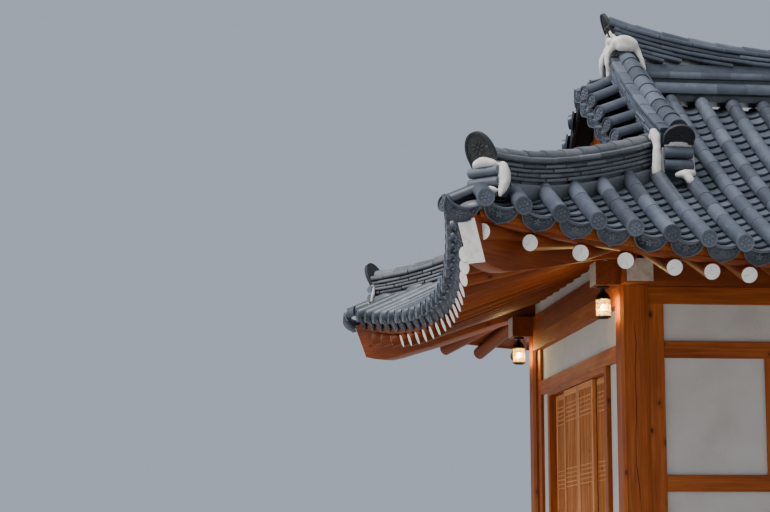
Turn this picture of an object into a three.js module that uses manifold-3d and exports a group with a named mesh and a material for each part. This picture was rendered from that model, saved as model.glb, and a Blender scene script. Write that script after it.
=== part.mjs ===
// A small Korean timber house (hanok): two bays wide and one bay deep, under a
// hip-and-gable tile roof whose eaves rise and flare out towards the corners.
// Millimetres, +Z up. The origin is at ground level under the middle of the house.
// The front faces -Y, and the wall with the sliding doors faces -X.
import * as THREE from "three";
import { mergeVertices } from "three/addons/utils/BufferGeometryUtils.js";
import Module from "manifold-3d";

const wasm = await Module();
wasm.setup();

// ---------------------------------------------------------------- driving sizes

const GAP = 0.3; // clearance between pieces that bear on each other
const SLIVER = 0.05; // points closer than this to a face are merged into it

// plan: square columns on a grid of equal bays
const COLUMN = 240;
const COLUMN_CHAMFER = 26;
const BAY = 3900;
const HALF_X = BAY + COLUMN / 2; // outer faces of the corner columns
const HALF_Y = BAY / 2 + COLUMN / 2;

// heights
const PODIUM_HEIGHT = 350;
const PAD_HEIGHT = 200;
const COLUMN_HEIGHT = 2700;
const PODIUM_OUT = 900; // podium beyond the columns, well inside the eaves
const PAD_WIDTH = 340;
const TOP = PODIUM_HEIGHT + PAD_HEIGHT + COLUMN_HEIGHT; // top of the columns

// horizontal timbers of a wall, measured from the top of the columns
const HEAD_BEAM = [-150, 0];
const MIDDLE_BEAM = [-611, -469];
const LOWER_BEAM = [-1740, -1600];
const SILL = [-2560, -2400];
const WALL_RECESS = 45; // timber face behind the column face
const WALL_DEPTH = 150;
const PLASTER_RECESS = 32; // plaster face behind the timber face
const JAMB = 140; // post beside each column
const PLASTER_PANEL = 880; // plaster panel beside a window
const WINDOW_POST = 150;

// sliding door
const DOOR_STRIP = 400; // plaster strip on either side of the door
const DOOR_FRAME = 90;
const DOOR_HEAD = 50;
const DOOR_SILL = 60;
const DOOR_OVERLAP = 50; // outer leaf over inner leaf
const LEAF_DEPTH = 36;
const LEAF_STILE = 55;
const LEAF_PANEL = 12;
const RUN_GAP = 5; // running clearance of a leaf
const RUNNER_GAP = 0.5; // clearance of a leaf on its runner
const TRACK_PITCH = LEAF_DEPTH + 8;

// window
const WINDOW_FRAME = 52;
const WINDOW_DEPTH = 120;

// wall plates over the columns
const PLATE_HEIGHT = 205;
const PLATE_OUT = 210; // crossed ends beyond the column faces

// eaves: rafters, boarding, and the curve towards the corners
const RAFTER_RADIUS = 68;
const RAFTER_SIDES = 6;
const RAFTER_PITCH = 312;
const RAFTER_OUT = 1205; // rafter ends beyond the column faces, mid eave
const RAFTER_END = -110; // axis of a rafter end against the column tops
const RAFTER_SLOPE = 0.4;
const RAFTER_INNER = 1450; // length in plan from rafter end to inner end
const FAN_ENDS = { long: [210, 590, 1000, 1370], short: [680, 1010, 1380] }; // fan rafter ends from the corner
const FIRST_STRAIGHT = 120; // first straight rafter inside the column face
const RAFTER_FLARE = 400; // rafter ends beyond their straight line, at the corner
const RAFTER_RISE = 335; // their rise there
const RISE_FADE = 0.92; // share of the rise lost between rafter ends and columns
const BOARD_UNDER = 74; // underside of the boarding above the rafter axes
const BOARD_OVER = 98; // underside of the roof above the rafter axes
const BATTEN = { back: 25, width: 60, low: 35, high: 84 }; // curved batten on the rafter ends
const BOARD_PLAY = 7; // boarding under the roof's faceted underside
const TURN = 3600; // length of eave that curves, from the corner
const FLARE = 450; // the corner beyond the straight eave, in plan
const FLARE_POWER = 1.6;

// tiled slopes
const EAVE_OUT = 1340; // tile ends beyond the column faces, mid eave
const EAVE_TOP = 165; // tops of the tiles at mid eave, over the column tops
const SLOPE = 0.4516; // roof pitch at the eave
const SLOPE_GAIN = 0.0000417; // pitch gained for each millimetre up the slope
const CORNER_LIFT = 580;
const LIFT_POWER = 1.7;
const TILE_HALF = 60; // mean tile surface under the tops of the cover tiles
const PAN_DROP = 35; // hollow rows under the mean tile surface
const ROW_PITCH = 303.6; // rows of cover tiles
const COVER = { foot: 75, crown: 42, top: 57, bury: 55 }; // half widths and heights of a row of cover tiles
const EAVE_EDGE = 120; // thickness of the slope's edge
const UPPER_UNDERSIDE = 0.62; // pitch of the underside over the room

// gable, verge and ridges
const GABLE_X = 3600; // outer end of the main slopes
const GABLE_WALL = 90;
const GABLE_FOOT = 1455; // |y| where the verge ends, beside the hip ridge
const VERGE_OUT = 300;
const VERGE_DEPTH = 60;
const VERGE_ROWS = [120, 420, 720, 1020, 1320]; // |y| of the short rows of cover tiles over the verge
const VERGE_ROW_RADIUS = 72;
const BARGE_BOARD = [35, 250]; // thickness and height
const RIDGE_HALF = 3585;
const RIDGE_BASE = [380, 2420]; // width of the lower courses and their top
const RIDGE_UPPER = 300;
const RIDGE_TOP = 2570; // mid ridge, over the column tops
const RIDGE_RISE = 330;
const RIDGE_POWER = 3.5;
const GABLE_RIDGE_WIDTH = 280;
const GABLE_RIDGE_FOOT = 1990; // |y| of its lower end
const GABLE_RIDGE_TOP = 1450; // its top at the lower end
const GABLE_RIDGE_PITCH = 0.588;
const HIP_RIDGE_WIDTH = 260;
const HIP_RIDGE_HEIGHT = 220;
const HIP_RIDGE_START = 385; // from the corner, measured along one eave
const PLAQUE = { width: 250, height: 260, depth: 40, lean: 0.3 };

// corner rafter under each hip
const CORNER_RAFTER = { width: 170, tip: 1580, heel: 1480, inner: -400, belly: 1290 };

// lantern, as stacked turned pieces: [radius, height from the top]
const LANTERN = { out: 125, profile: [[55, 0], [55, 16], [25, 20], [25, 40], [66, 108], [66, 262], [45, 266], [45, 276]] };

// ---------------------------------------------------------------- materials

const finish = (color, roughness, metalness = 0) => () =>
  new THREE.MeshStandardMaterial({ color, roughness, metalness });
const pine = finish(0x8a4a20, 0.6);
const paleWood = finish(0x9c6a3c, 0.7);
const plaster = finish(0xb8b2aa, 0.9);
const roofTile = finish(0x39414d, 0.55);
const stone = finish(0x9a9690, 0.85);
const paper = finish(0xe6e0d2, 0.8);
const iron = finish(0x24211f, 0.5, 0.6);

// ---------------------------------------------------------------- solids

/** A three.js geometry as a manifold solid. */
function solid(geometry) {
  geometry.deleteAttribute("normal");
  geometry.deleteAttribute("uv");
  const merged = mergeVertices(geometry, 1e-4);
  return new wasm.Manifold(new wasm.Mesh({
    numProp: 3,
    vertProperties: new Float32Array(merged.attributes.position.array),
    triVerts: new Uint32Array(merged.index.array),
  }));
}

/** A manifold solid as a three.js geometry, without the slivers that the cuts leave on flat faces. */
function geometryOf(manifold) {
  const { vertProperties, triVerts } = manifold.asOriginal().simplify(SLIVER).getMesh();
  const geometry = new THREE.BufferGeometry();
  geometry.setAttribute("position", new THREE.BufferAttribute(vertProperties, 3));
  geometry.setIndex(new THREE.BufferAttribute(triVerts, 1));
  return geometry;
}

/** A box between two coordinates on each axis. */
function block([x0, x1], [y0, y1], [z0, z1]) {
  const box = new THREE.BoxGeometry(x1 - x0, y1 - y0, z1 - z0);
  return solid(box.translate((x0 + x1) / 2, (y0 + y1) / 2, (z0 + z1) / 2));
}

/** A divided box whose points are moved by place(along -1..1, across 0..1, up 0..1). */
function bent(along, across, place) {
  const box = new THREE.BoxGeometry(2, 1, 1, along, across, 1);
  const points = box.attributes.position;
  for (let i = 0; i < points.count; i += 1) {
    points.setXYZ(i, ...place(points.getX(i), points.getY(i) + 0.5, points.getZ(i) + 0.5));
  }
  return solid(box);
}

/** A closed outline in the YZ plane, drawn out along X. */
function prismX(outline, [x0, x1]) {
  const shape = new THREE.Shape(outline.map(([y, z]) => new THREE.Vector2(y, z)));
  const prism = new THREE.ExtrudeGeometry(shape, { depth: x1 - x0, bevelEnabled: false });
  prism.rotateX(Math.PI / 2).rotateZ(Math.PI / 2);
  return solid(prism.translate(x0, 0, 0));
}

/** A round bar between two points. */
function bar(from, to, radius, sides) {
  const axis = new THREE.Vector3().subVectors(to, from);
  const rod = new THREE.CylinderGeometry(radius, radius, axis.length(), sides);
  const turn = new THREE.Quaternion().setFromUnitVectors(new THREE.Vector3(0, 1, 0), axis.clone().normalize());
  rod.applyQuaternion(turn);
  const middle = new THREE.Vector3().addVectors(from, to).multiplyScalar(0.5);
  return solid(rod.translate(middle.x, middle.y, middle.z));
}

const joined = (parts) => parts.reduce((whole, part) => whole.add(part));
const cutBy = (body, cutters) => cutters.reduce((rest, cutter) => rest.subtract(cutter), body);
const raised = (body, height) => body.translate([0, 0, height]);
const turned = (body, degrees) => body.rotate([0, 0, degrees]);
const heights = ([low, high], shrink = 0) => [TOP + low + shrink, TOP + high - shrink];

// ---------------------------------------------------------------- roof surfaces

const FRONT = { half: HALF_X, depth: HALF_Y, divisions: 14 };
const FLANK = { half: HALF_Y, depth: HALF_X, divisions: 10 };
const eaveRows = [-FLARE + EAVE_OUT - RAFTER_OUT, EAVE_OUT - RAFTER_OUT, 860, RAFTER_INNER + EAVE_OUT - RAFTER_OUT];
const hipRow = HALF_X + EAVE_OUT - GABLE_X; // the hips end where the gables stand
const corner = (side) => side.half + EAVE_OUT + FLARE;
const curl = (fromCorner, power) => Math.max(0, 1 - fromCorner / TURN) ** power;
const flare = (fromCorner) => FLARE * curl(fromCorner, FLARE_POWER);

/** Mean tile surface: t in from the straight eave line, c in from the corner. */
function tileTop(t, c) {
  return TOP + EAVE_TOP - TILE_HALF + SLOPE * t + SLOPE_GAIN * t * t + CORNER_LIFT * curl(c, LIFT_POWER);
}

/** Height of the rafter axes: s in from the straight line of rafter ends. */
function rafterAxis(s, c) {
  const fromEnd = c - (EAVE_OUT - RAFTER_OUT);
  const rise = RAFTER_RISE * curl(fromEnd, 2.4) + RAFTER_SLOPE * RAFTER_FLARE * curl(fromEnd, FLARE_POWER);
  const fade = 1 - RISE_FADE * Math.max(0, s) / (RAFTER_OUT + COLUMN / 2);
  return TOP + RAFTER_END + RAFTER_SLOPE * s + rise * Math.max(0, fade);
}

/** Underside of a tiled slope: on the boarding, then steeper over the room. */
function tileUnder(t, c) {
  const s = t - (EAVE_OUT - RAFTER_OUT);
  const onBoards = Math.min(s, RAFTER_INNER);
  return rafterAxis(onBoards, c) + BOARD_OVER + UPPER_UNDERSIDE * (s - onBoards);
}

/** Plan point of a side's surface, for a row that meets the hip at tHip. */
function planPoint(side, along, tHip, stop) {
  const reach = corner(side) - FLARE - Math.min(tHip, stop) - GAP;
  const x = along * reach;
  const blend = Math.max(0, 1 - (tHip + FLARE) / (FLARE + EAVE_OUT + COLUMN / 2));
  const t = tHip + (FLARE - flare(corner(side) * (1 - Math.abs(along)))) * blend;
  return { x, y: -(side.depth + EAVE_OUT - t), t, c: corner(side) - Math.abs(x) };
}

/** Value at a share 0..1 of the way through a list of rows. */
const rowAt = (rows, share) => {
  const place = share * (rows.length - 1);
  const row = Math.min(Math.floor(place), rows.length - 2);
  return rows[row] + (rows[row + 1] - rows[row]) * (place - row);
};

/** The bed of a tiled slope facing -Y, from its eave up to the last row. */
function slope(side, rows, stop) {
  return bent(side.divisions, rows.length - 1, (x, row, up) => {
    const p = planPoint(side, x, rowAt(rows, row), stop);
    const top = tileTop(p.t, p.c);
    const under = row === 0 ? top - EAVE_EDGE : tileUnder(p.t, p.c);
    return [p.x, p.y, up > 0.5 ? top - PAN_DROP : under];
  });
}

/** Where a row of cover tiles at x ends, before the ridge, wall or hip above it. */
function rowEnd(side, x) {
  const beforeHip = side.half + EAVE_OUT - x - HIP_RIDGE_WIDTH * Math.SQRT1_2 - COVER.foot - 10;
  if (side === FLANK) {
    return Math.min(beforeHip, x > 1300 ? 1460 : HALF_X + EAVE_OUT - GABLE_X - GABLE_WALL - 10);
  }
  const atGableRidge = x + COVER.foot > GABLE_X - GABLE_RIDGE_WIDTH && x - COVER.foot < GABLE_X;
  if (atGableRidge) return HALF_Y + EAVE_OUT - GABLE_RIDGE_FOOT - 30;
  return x > GABLE_X ? beforeHip : HALF_Y + EAVE_OUT - RIDGE_BASE[0] / 2 - 10;
}

/** Rows of cover tiles on a slope facing -Y. */
function coverRows(side) {
  const { foot, crown, top, bury } = COVER;
  const shift = side === FLANK ? 0.5 : 0;
  const last = Math.floor(corner(side) / ROW_PITCH);
  const rows = [];
  for (let k = -last; k <= last; k += 1) {
    const x = (k + shift) * ROW_PITCH;
    const start = -flare(corner(side) - Math.abs(x));
    const end = rowEnd(side, Math.abs(x));
    if (Math.abs(x) + foot > corner(side) || end - start < 180) continue;
    const across = [-foot, -crown, crown, foot];
    rows.push(bent(Math.max(1, Math.round((end - start) / 900)), 3, (along, part, up) => {
      const t = start + (end - start) * (along + 1) / 2;
      const column = Math.round(part * 3);
      const px = x - across[column];
      const height = up > 0.5 && column % 3 !== 0 ? top : -PAN_DROP - 10;
      return [px, -(side.depth + EAVE_OUT - t), tileTop(t, corner(side) - Math.abs(px)) + (up > 0.5 ? height : -bury - 10)];
    }));
  }
  return rows;
}

// ---------------------------------------------------------------- base and frame

/** Low stone podium with the pad stones set in its top. */
function podium() {
  const base = block([-HALF_X - PODIUM_OUT, HALF_X + PODIUM_OUT], [-HALF_Y - PODIUM_OUT, HALF_Y + PODIUM_OUT], [0, PODIUM_HEIGHT]);
  return joined([base, ...columnPlaces.map((place) => padStone(place))]);
}

function stepStone() {
  const x = -HALF_X - 80;
  return block([x - 400, x], [-650, 650], [PODIUM_HEIGHT + GAP, PODIUM_HEIGHT + 250]);
}

const columnPlaces = [
  ["front_left", -1, -1], ["front_middle", 0, -1], ["front_right", 1, -1],
  ["rear_left", -1, 1], ["rear_middle", 0, 1], ["rear_right", 1, 1],
].map(([name, i, j]) => ({ name, x: i * BAY, y: j * (BAY / 2) }));

function padStone({ x, y }, grow = 0) {
  const half = PAD_WIDTH / 2 + grow;
  return block([x - half, x + half], [y - half, y + half], [PODIUM_HEIGHT - 1 - grow, PODIUM_HEIGHT + PAD_HEIGHT + grow]);
}

function column({ x, y }, grow = 0) {
  const h = COLUMN / 2 + grow;
  const k = COLUMN_CHAMFER;
  const outline = [[-h, -h + k], [-h + k, -h], [h - k, -h], [h, -h + k], [h, h - k], [h - k, h], [-h + k, h], [-h, h - k]];
  const shape = new THREE.Shape(outline.map(([a, b]) => new THREE.Vector2(a, b)));
  const foot = PODIUM_HEIGHT + PAD_HEIGHT + GAP - grow;
  const shaft = new THREE.ExtrudeGeometry(shape, { depth: TOP + grow - foot, bevelEnabled: false });
  return solid(shaft.translate(x, y, foot));
}

/** Heated floor slab with the masonry skirt that carries it and the sills. */
function floor() {
  const inside = WALL_RECESS + WALL_DEPTH + GAP;
  const skirt = 60;
  const slab = block([-HALF_X + inside, HALF_X - inside], [-HALF_Y + inside, HALF_Y - inside], [TOP - 2700 + GAP, TOP + SILL[1]]);
  const ring = block([-HALF_X + skirt, HALF_X - skirt], [-HALF_Y + skirt, HALF_Y - skirt], [PODIUM_HEIGHT + GAP, TOP + SILL[0] - GAP])
    .subtract(block([-HALF_X + 320, HALF_X - 320], [-HALF_Y + 320, HALF_Y - 320], [0, TOP]));
  return cutBy(slab.add(ring), columnPlaces.flatMap((place) => [padStone(place, GAP), column(place, GAP)]));
}

// ---------------------------------------------------------------- walls

// wall pieces are drawn facing -Y with the column face at y = 0
const wallY = [WALL_RECESS, WALL_RECESS + WALL_DEPTH];
const plasterY = [WALL_RECESS + PLASTER_RECESS, WALL_RECESS + WALL_DEPTH - PLASTER_RECESS];
const CLEAR = (BAY - COLUMN) / 2 - GAP; // half the clear width between columns
const WINDOW_HALF = CLEAR + GAP - JAMB - PLASTER_PANEL - WINDOW_POST;
const DOOR_HALF = CLEAR + GAP - JAMB - DOOR_STRIP + 20;

/** Sill, head and middle beams with the posts beside the columns. */
function wallTimbers(beams) {
  const full = [-CLEAR, CLEAR];
  const posts = [-1, 1].map((end) => block(
    [Math.min(end * CLEAR, end * (CLEAR - JAMB)), Math.max(end * CLEAR, end * (CLEAR - JAMB))], wallY, heights([SILL[0], -GAP])));
  return joined([...beams.map((beam) => block(full, wallY, heights(beam))), ...posts]);
}

/** A bay with a window between two plaster panels. */
function windowWall() {
  const timbers = wallTimbers([[HEAD_BEAM[0], -GAP], MIDDLE_BEAM, LOWER_BEAM, SILL]);
  const posts = [-1, 1].map((end) => {
    const x = [end * WINDOW_HALF, end * (WINDOW_HALF + WINDOW_POST)].sort((a, b) => a - b);
    return block(x, wallY, heights([LOWER_BEAM[0], MIDDLE_BEAM[1]]));
  });
  const panels = block([-CLEAR, CLEAR], plasterY, heights([SILL[0], HEAD_BEAM[1] - GAP]));
  const hole = block([-WINDOW_HALF, WINDOW_HALF], [0, 400], heights([LOWER_BEAM[1], MIDDLE_BEAM[0]]));
  return joined([timbers, ...posts, panels]).subtract(hole);
}

/** Head and middle beam over the sliding doors, with the plaster between them. */
function overDoor() {
  const panel = block([-CLEAR, CLEAR], plasterY, heights([MIDDLE_BEAM[0], HEAD_BEAM[1] - GAP]));
  const jambs = [-1, 1].map((end) => {
    const x = [end * CLEAR, end * (CLEAR - JAMB)].sort((a, b) => a - b);
    return block(x, wallY, heights([MIDDLE_BEAM[0], -GAP]));
  });
  const flushHead = block([-CLEAR, CLEAR], [0, wallY[1]], heights([HEAD_BEAM[0], -GAP])); // in line with the plate over it
  return joined([panel, flushHead, ...jambs, block([-CLEAR, CLEAR], wallY, heights(MIDDLE_BEAM))]);
}

/** Jamb and narrow plaster strip beside the sliding doors, at the end given. */
function besideDoor(end) {
  const z = heights([SILL[1], MIDDLE_BEAM[0]], GAP);
  const x = (from, to) => [end * from, end * to].sort((a, b) => a - b);
  return block(x(CLEAR - JAMB, CLEAR), wallY, z).add(block(x(DOOR_HALF, CLEAR), plasterY, z));
}

/** A lattice leaf as a frame around a thin panel, its outer face at y. */
function leaf([x0, x1], y, [z0, z1]) {
  const frame = block([x0, x1], [y, y + LEAF_DEPTH], [z0, z1])
    .subtract(block([x0 + LEAF_STILE, x1 - LEAF_STILE], [y - 1, y + LEAF_DEPTH + 1], [z0 + LEAF_STILE, z1 - LEAF_STILE]));
  const middle = y + (LEAF_DEPTH - LEAF_PANEL) / 2;
  return frame.add(block([x0 + LEAF_STILE - 1, x1 - LEAF_STILE + 1], [middle, middle + LEAF_PANEL], [z0 + LEAF_STILE - 1, z1 - LEAF_STILE + 1]));
}

/** Window frame with its two overlapping lattice leaves. */
function windowUnit() {
  const x = [-WINDOW_HALF + GAP, WINDOW_HALF - GAP];
  const z = heights([LOWER_BEAM[1], MIDDLE_BEAM[0]], GAP);
  const y = WALL_RECESS + 12;
  const inner = { x: [x[0] + WINDOW_FRAME, x[1] - WINDOW_FRAME], z: [z[0] + WINDOW_FRAME, z[1] - WINDOW_FRAME] };
  const frame = block(x, [y, y + WINDOW_DEPTH], z).subtract(block(inner.x, [0, 400], inner.z));
  const face = y + 24;
  const grip = 1; // the leaves bite into the frame's grooves
  const left = leaf([inner.x[0] - grip, LEAF_STILE / 2], face, [inner.z[0] - grip, inner.z[1] + grip]);
  const right = leaf([-LEAF_STILE / 2, inner.x[1] + grip], face + LEAF_DEPTH, [inner.z[0] - grip, inner.z[1] + grip]);
  return joined([frame, left, right]);
}

const DOOR_Z = heights([SILL[1], MIDDLE_BEAM[0]], GAP);
const doorOpening = { half: DOOR_HALF - GAP - DOOR_FRAME, z: [DOOR_Z[0] + DOOR_SILL, DOOR_Z[1] - DOOR_HEAD] };
const outerTrack = WALL_RECESS + 14;

/** Frame of the sliding doors: two posts, a head and a sill that the leaves run on. */
function doorFrame() {
  const depth = [WALL_RECESS - 10, WALL_RECESS + WALL_DEPTH - 20];
  const frame = block([-DOOR_HALF + GAP, DOOR_HALF - GAP], depth, DOOR_Z);
  const way = block([-doorOpening.half, doorOpening.half], [0, 400], doorOpening.z);
  return frame.subtract(way);
}

/** One sliding leaf: place 0 and 3 run on the inner track, 1 and 2 on the outer one. */
function doorLeaf(place) {
  const half = doorOpening.half;
  const width = (half - RUN_GAP - RUN_GAP / 2 + DOOR_OVERLAP) / 2;
  const outerLeaf = place === 1 || place === 2;
  const start = outerLeaf ? -RUN_GAP / 2 - width : -half + RUN_GAP;
  const mirrored = place > 1;
  const x = mirrored ? [-start - width, -start] : [start, start + width];
  const y = outerTrack + (outerLeaf ? 0 : TRACK_PITCH);
  return leaf(x, y, [doorOpening.z[0] + RUNNER_GAP, doorOpening.z[1] - RUN_GAP]);
}

// ---------------------------------------------------------------- plates and roof frame

/** Wall plate over the front columns; upper crossing halves are taken off, or lower ones. */
function plate(side, upper, grow = 0) {
  const beam = block([-side.half - PLATE_OUT - grow, side.half + PLATE_OUT + grow],
    [-side.depth - grow, -side.depth + COLUMN + grow], [TOP + GAP - grow, TOP + PLATE_HEIGHT + grow]);
  if (grow > 0) return beam;
  const middle = TOP + PLATE_HEIGHT / 2;
  const z = upper ? [middle - GAP / 2, TOP + 400] : [TOP - 10, middle + GAP / 2];
  return cutBy(beam, [-1, 1].map((end) => {
    const x = [end * (side.half + GAP), end * (side.half - COLUMN - GAP)].sort((a, b) => a - b);
    return block(x, [-side.depth - 500, -side.depth + 500], z);
  }));
}

/** Tie beam between the middle columns, post and ridge beam over it. */
function ridgeFrame() {
  const tie = block([-100, 100], [-HALF_Y + COLUMN + GAP, HALF_Y - COLUMN - GAP], heights([-300, -30]));
  const under = tileUnder(HALF_Y + EAVE_OUT - 100, 99999) - 2 * GAP;
  const post = block([-90, 90], [-90, 90], [TOP - 40, under - 150]);
  const ridgeBeam = block([-GABLE_X + 12, GABLE_X - 12], [-100, 100], [under - 200, under]);
  return joined([tie, post, ridgeBeam]);
}

/** Corner rafter under a hip, drawn from its side with its tip at -X, then turned onto the diagonal. */
function cornerRafter(grow = 0, longer = 0) {
  const { width, inner, belly } = CORNER_RAFTER;
  const tip = CORNER_RAFTER.tip + longer;
  const heel = CORNER_RAFTER.heel + longer / 4;
  const g = grow;
  const across = Math.SQRT2; // distances along one eave stretch by this along the diagonal
  const topAt = (out) => rafterAxis(RAFTER_OUT - out, RAFTER_OUT + FLARE + (EAVE_OUT - RAFTER_OUT) - out) + BOARD_OVER - 5 + g;
  const seat = TOP + PLATE_HEIGHT + GAP - g;
  const shape = new THREE.Shape();
  shape.moveTo((-tip - g) * across, topAt(tip) - 30);
  shape.lineTo((-heel - g) * across, TOP - 52 - g);
  shape.splineThru([[belly, -95], [1100, -55], [656, 62], [300, 160]].map(([out, z]) => new THREE.Vector2(-out * across, TOP + z - g)));
  shape.lineTo(-120 * across, seat);
  shape.lineTo((-inner + g) * across, seat);
  for (const out of [inner, 0, 500, 1000, 1400]) shape.lineTo(-out * across + (out === inner ? g : 0), topAt(out));
  shape.lineTo((-tip - g) * across, topAt(tip));
  const blade = new THREE.ExtrudeGeometry(shape, { depth: width + 2 * g, bevelEnabled: false, curveSegments: 3 });
  blade.translate(0, 0, -width / 2 - g).rotateX(Math.PI / 2).rotateZ(Math.PI / 4);
  return solid(blade.translate(-HALF_X, -HALF_Y, 0));
}

/** Rafters, their boarding and the infill over the plate, on the side facing -Y. */
function eave(side) {
  const toTile = EAVE_OUT - RAFTER_OUT;
  const rows = eaveRows;
  const boards = bent(side.divisions, rows.length - 1, (x, row, up) => {
    const p = planPoint(side, x, rowAt(rows, row), 1e5);
    return [p.x, p.y, rafterAxis(p.t - toTile, p.c) + (up > 0.5 ? BOARD_OVER - BOARD_PLAY : BOARD_UNDER)];
  });
  const end = corner(side);
  const axisPoint = (x, s) => new THREE.Vector3(x, -(side.depth + RAFTER_OUT - s), rafterAxis(s, end - Math.abs(x)));
  const endOf = (fromCorner) => -RAFTER_FLARE * curl(fromCorner, FLARE_POWER);
  const inner = (x) => axisPoint(x, Math.min(RAFTER_INNER - 20, RAFTER_OUT + side.half - Math.abs(x)));
  const reach = side.half - FIRST_STRAIGHT;
  const count = Math.round(2 * reach / RAFTER_PITCH);
  const rafters = [];
  for (let i = 0; i <= count; i += 1) {
    const x = -reach + 2 * reach * i / count;
    rafters.push(bar(axisPoint(x, endOf(end - toTile - Math.abs(x))), inner(x), RAFTER_RADIUS, RAFTER_SIDES));
  }
  for (const fromCorner of side === FRONT ? FAN_ENDS.long : FAN_ENDS.short) {
    for (const hand of [-1, 1]) {
      const x = hand * (end - toTile - fromCorner);
      const root = side.half - 60 - fromCorner * 0.1;
      const rootAt = new THREE.Vector3(hand * root, -(side.depth - side.half + root), rafterAxis(RAFTER_OUT + side.half - root, end - root));
      rafters.push(bar(axisPoint(x, endOf(fromCorner)), rootAt, RAFTER_RADIUS, RAFTER_SIDES));
    }
  }
  const infill = bent(side === FRONT ? 10 : 6, 1, (x, row, up) => {
    const px = x * (side.half - 210);
    const py = -side.depth + 30 + 180 * row;
    const over = rafterAxis(RAFTER_OUT + side.depth + py, end - Math.abs(px)) + BOARD_UNDER + 14;
    return [px, py, up > 0.5 ? over : TOP + PLATE_HEIGHT + GAP];
  });
  const batten = bent(side.divisions, 1, (x, row, up) => {
    const p = planPoint(side, x, -FLARE + toTile, 1e5);
    const y = p.y + BATTEN.back + BATTEN.width * row;
    return [p.x, y, rafterAxis(RAFTER_OUT + side.depth + y, p.c) + (up > 0.5 ? BATTEN.high : BATTEN.low)];
  });
  return joined([boards, batten, infill, ...rafters]);
}

// ---------------------------------------------------------------- gables and ridges

/** Verge, barge boards and wall of the gable facing -X. */
function gable() {
  const c = corner(FRONT) - GABLE_X - VERGE_OUT / 2;
  const foot = GABLE_FOOT;
  const steps = 4;
  const edge = (drop) => Array.from({ length: 2 * steps + 1 }, (_, i) => {
    const y = -foot + foot * i / steps;
    return [y, tileTop(HALF_Y + EAVE_OUT - Math.abs(y), c) - 20 - drop];
  });
  const band = (drop, depth) => [...edge(drop), ...edge(drop + depth).reverse()];
  const verge = prismX(band(0, VERGE_DEPTH), [-GABLE_X - VERGE_OUT, -GABLE_X - GAP]);
  const [thick, high] = BARGE_BOARD;
  const boards = prismX(band(VERGE_DEPTH - 5, high), [-GABLE_X - VERGE_OUT + 15, -GABLE_X - VERGE_OUT + 15 + thick]);
  const wall = prismX([...edge(VERGE_DEPTH - 5), [foot, TOP + 900], [-foot, TOP + 900]], [-GABLE_X - GABLE_WALL, -GABLE_X - GAP]);
  const rows = [-1, 1].flatMap((hand) => VERGE_ROWS.map((y) => {
    const z = tileTop(HALF_Y + EAVE_OUT - y, c);
    const at = (x, lift) => new THREE.Vector3(x, hand * y, z + lift);
    return bar(at(-GABLE_X - VERGE_OUT, -50), at(-GABLE_X - 4, 14), VERGE_ROW_RADIUS, 6);
  }));
  return joined([verge, boards, wall, ...rows]).trimByPlane([-1, 0, 0], GABLE_X + GAP).trimByPlane([1, 0, 0], -GABLE_X - VERGE_OUT);
}

/** Arched end tile of a ridge: it stands facing -X at the origin and leans outwards. */
function plaque({ width, height, depth, lean }) {
  const shape = new THREE.Shape();
  shape.moveTo(-width / 2, 0);
  shape.lineTo(width / 2, 0);
  shape.lineTo(width / 2, height - width / 2);
  shape.absarc(0, height - width / 2, width / 2, 0, Math.PI, false);
  const plate3d = new THREE.ExtrudeGeometry(shape, { depth, bevelEnabled: false, curveSegments: 5 });
  return solid(plate3d.rotateX(Math.PI / 2).rotateZ(-Math.PI / 2).rotateY(-lean));
}

/** Top of the main ridge, which sweeps up towards its ends. */
const ridgeTop = (x) => TOP + RIDGE_TOP + RIDGE_RISE * (Math.abs(x) / RIDGE_HALF) ** RIDGE_POWER;

function mainRidge() {
  const [baseWidth, baseTop] = RIDGE_BASE;
  const peak = (x) => tileTop(HALF_Y + EAVE_OUT, corner(FRONT) - Math.min(Math.abs(x), GABLE_X));
  const base = bent(12, 2, (x, across, up) => {
    const px = x * (GABLE_X - 2);
    const under = across === 0.5 ? peak(px) + 4 - PAN_DROP : peak(px) - 220;
    return [px, (across - 0.5) * baseWidth, up > 0.5 ? TOP + baseTop : under];
  });
  const upper = bent(12, 1, (x, across, up) => {
    const px = x * RIDGE_HALF;
    return [px, (across - 0.5) * RIDGE_UPPER, up > 0.5 ? ridgeTop(px) : TOP + baseTop - 10];
  });
  const ends = [0, 180].map((angle) => turned(plaque(PLAQUE).translate([-RIDGE_HALF + 5, 0, ridgeTop(RIDGE_HALF) - PLAQUE.height + 50]), angle));
  return joined([base, upper, ...ends]);
}

/** Ridge on the slope beside the front left gable, from the main ridge down. */
function gableRidge() {
  const x = [-GABLE_X + 2, -GABLE_X + 2 + GABLE_RIDGE_WIDTH];
  const top = (y) => TOP + GABLE_RIDGE_TOP + GABLE_RIDGE_PITCH * (y + GABLE_RIDGE_FOOT);
  const head = -RIDGE_BASE[0] / 2 - GAP;
  const body = bent(4, 1, (a, across, up) => {
    const y = THREE.MathUtils.lerp(-GABLE_RIDGE_FOOT, head, (a + 1) / 2);
    const surface = tileTop(HALF_Y + EAVE_OUT + y, corner(FRONT) + x[0]);
    return [x[1] + (x[0] - x[1]) * across, y, up > 0.5 ? top(y) : surface - 90];
  });
  const middle = (x[0] + x[1]) / 2;
  const end = turned(plaque(PLAQUE), 90).translate([middle, -GABLE_RIDGE_FOOT + 15, top(-GABLE_RIDGE_FOOT) - PLAQUE.height + 60]);
  return body.add(end);
}

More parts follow.
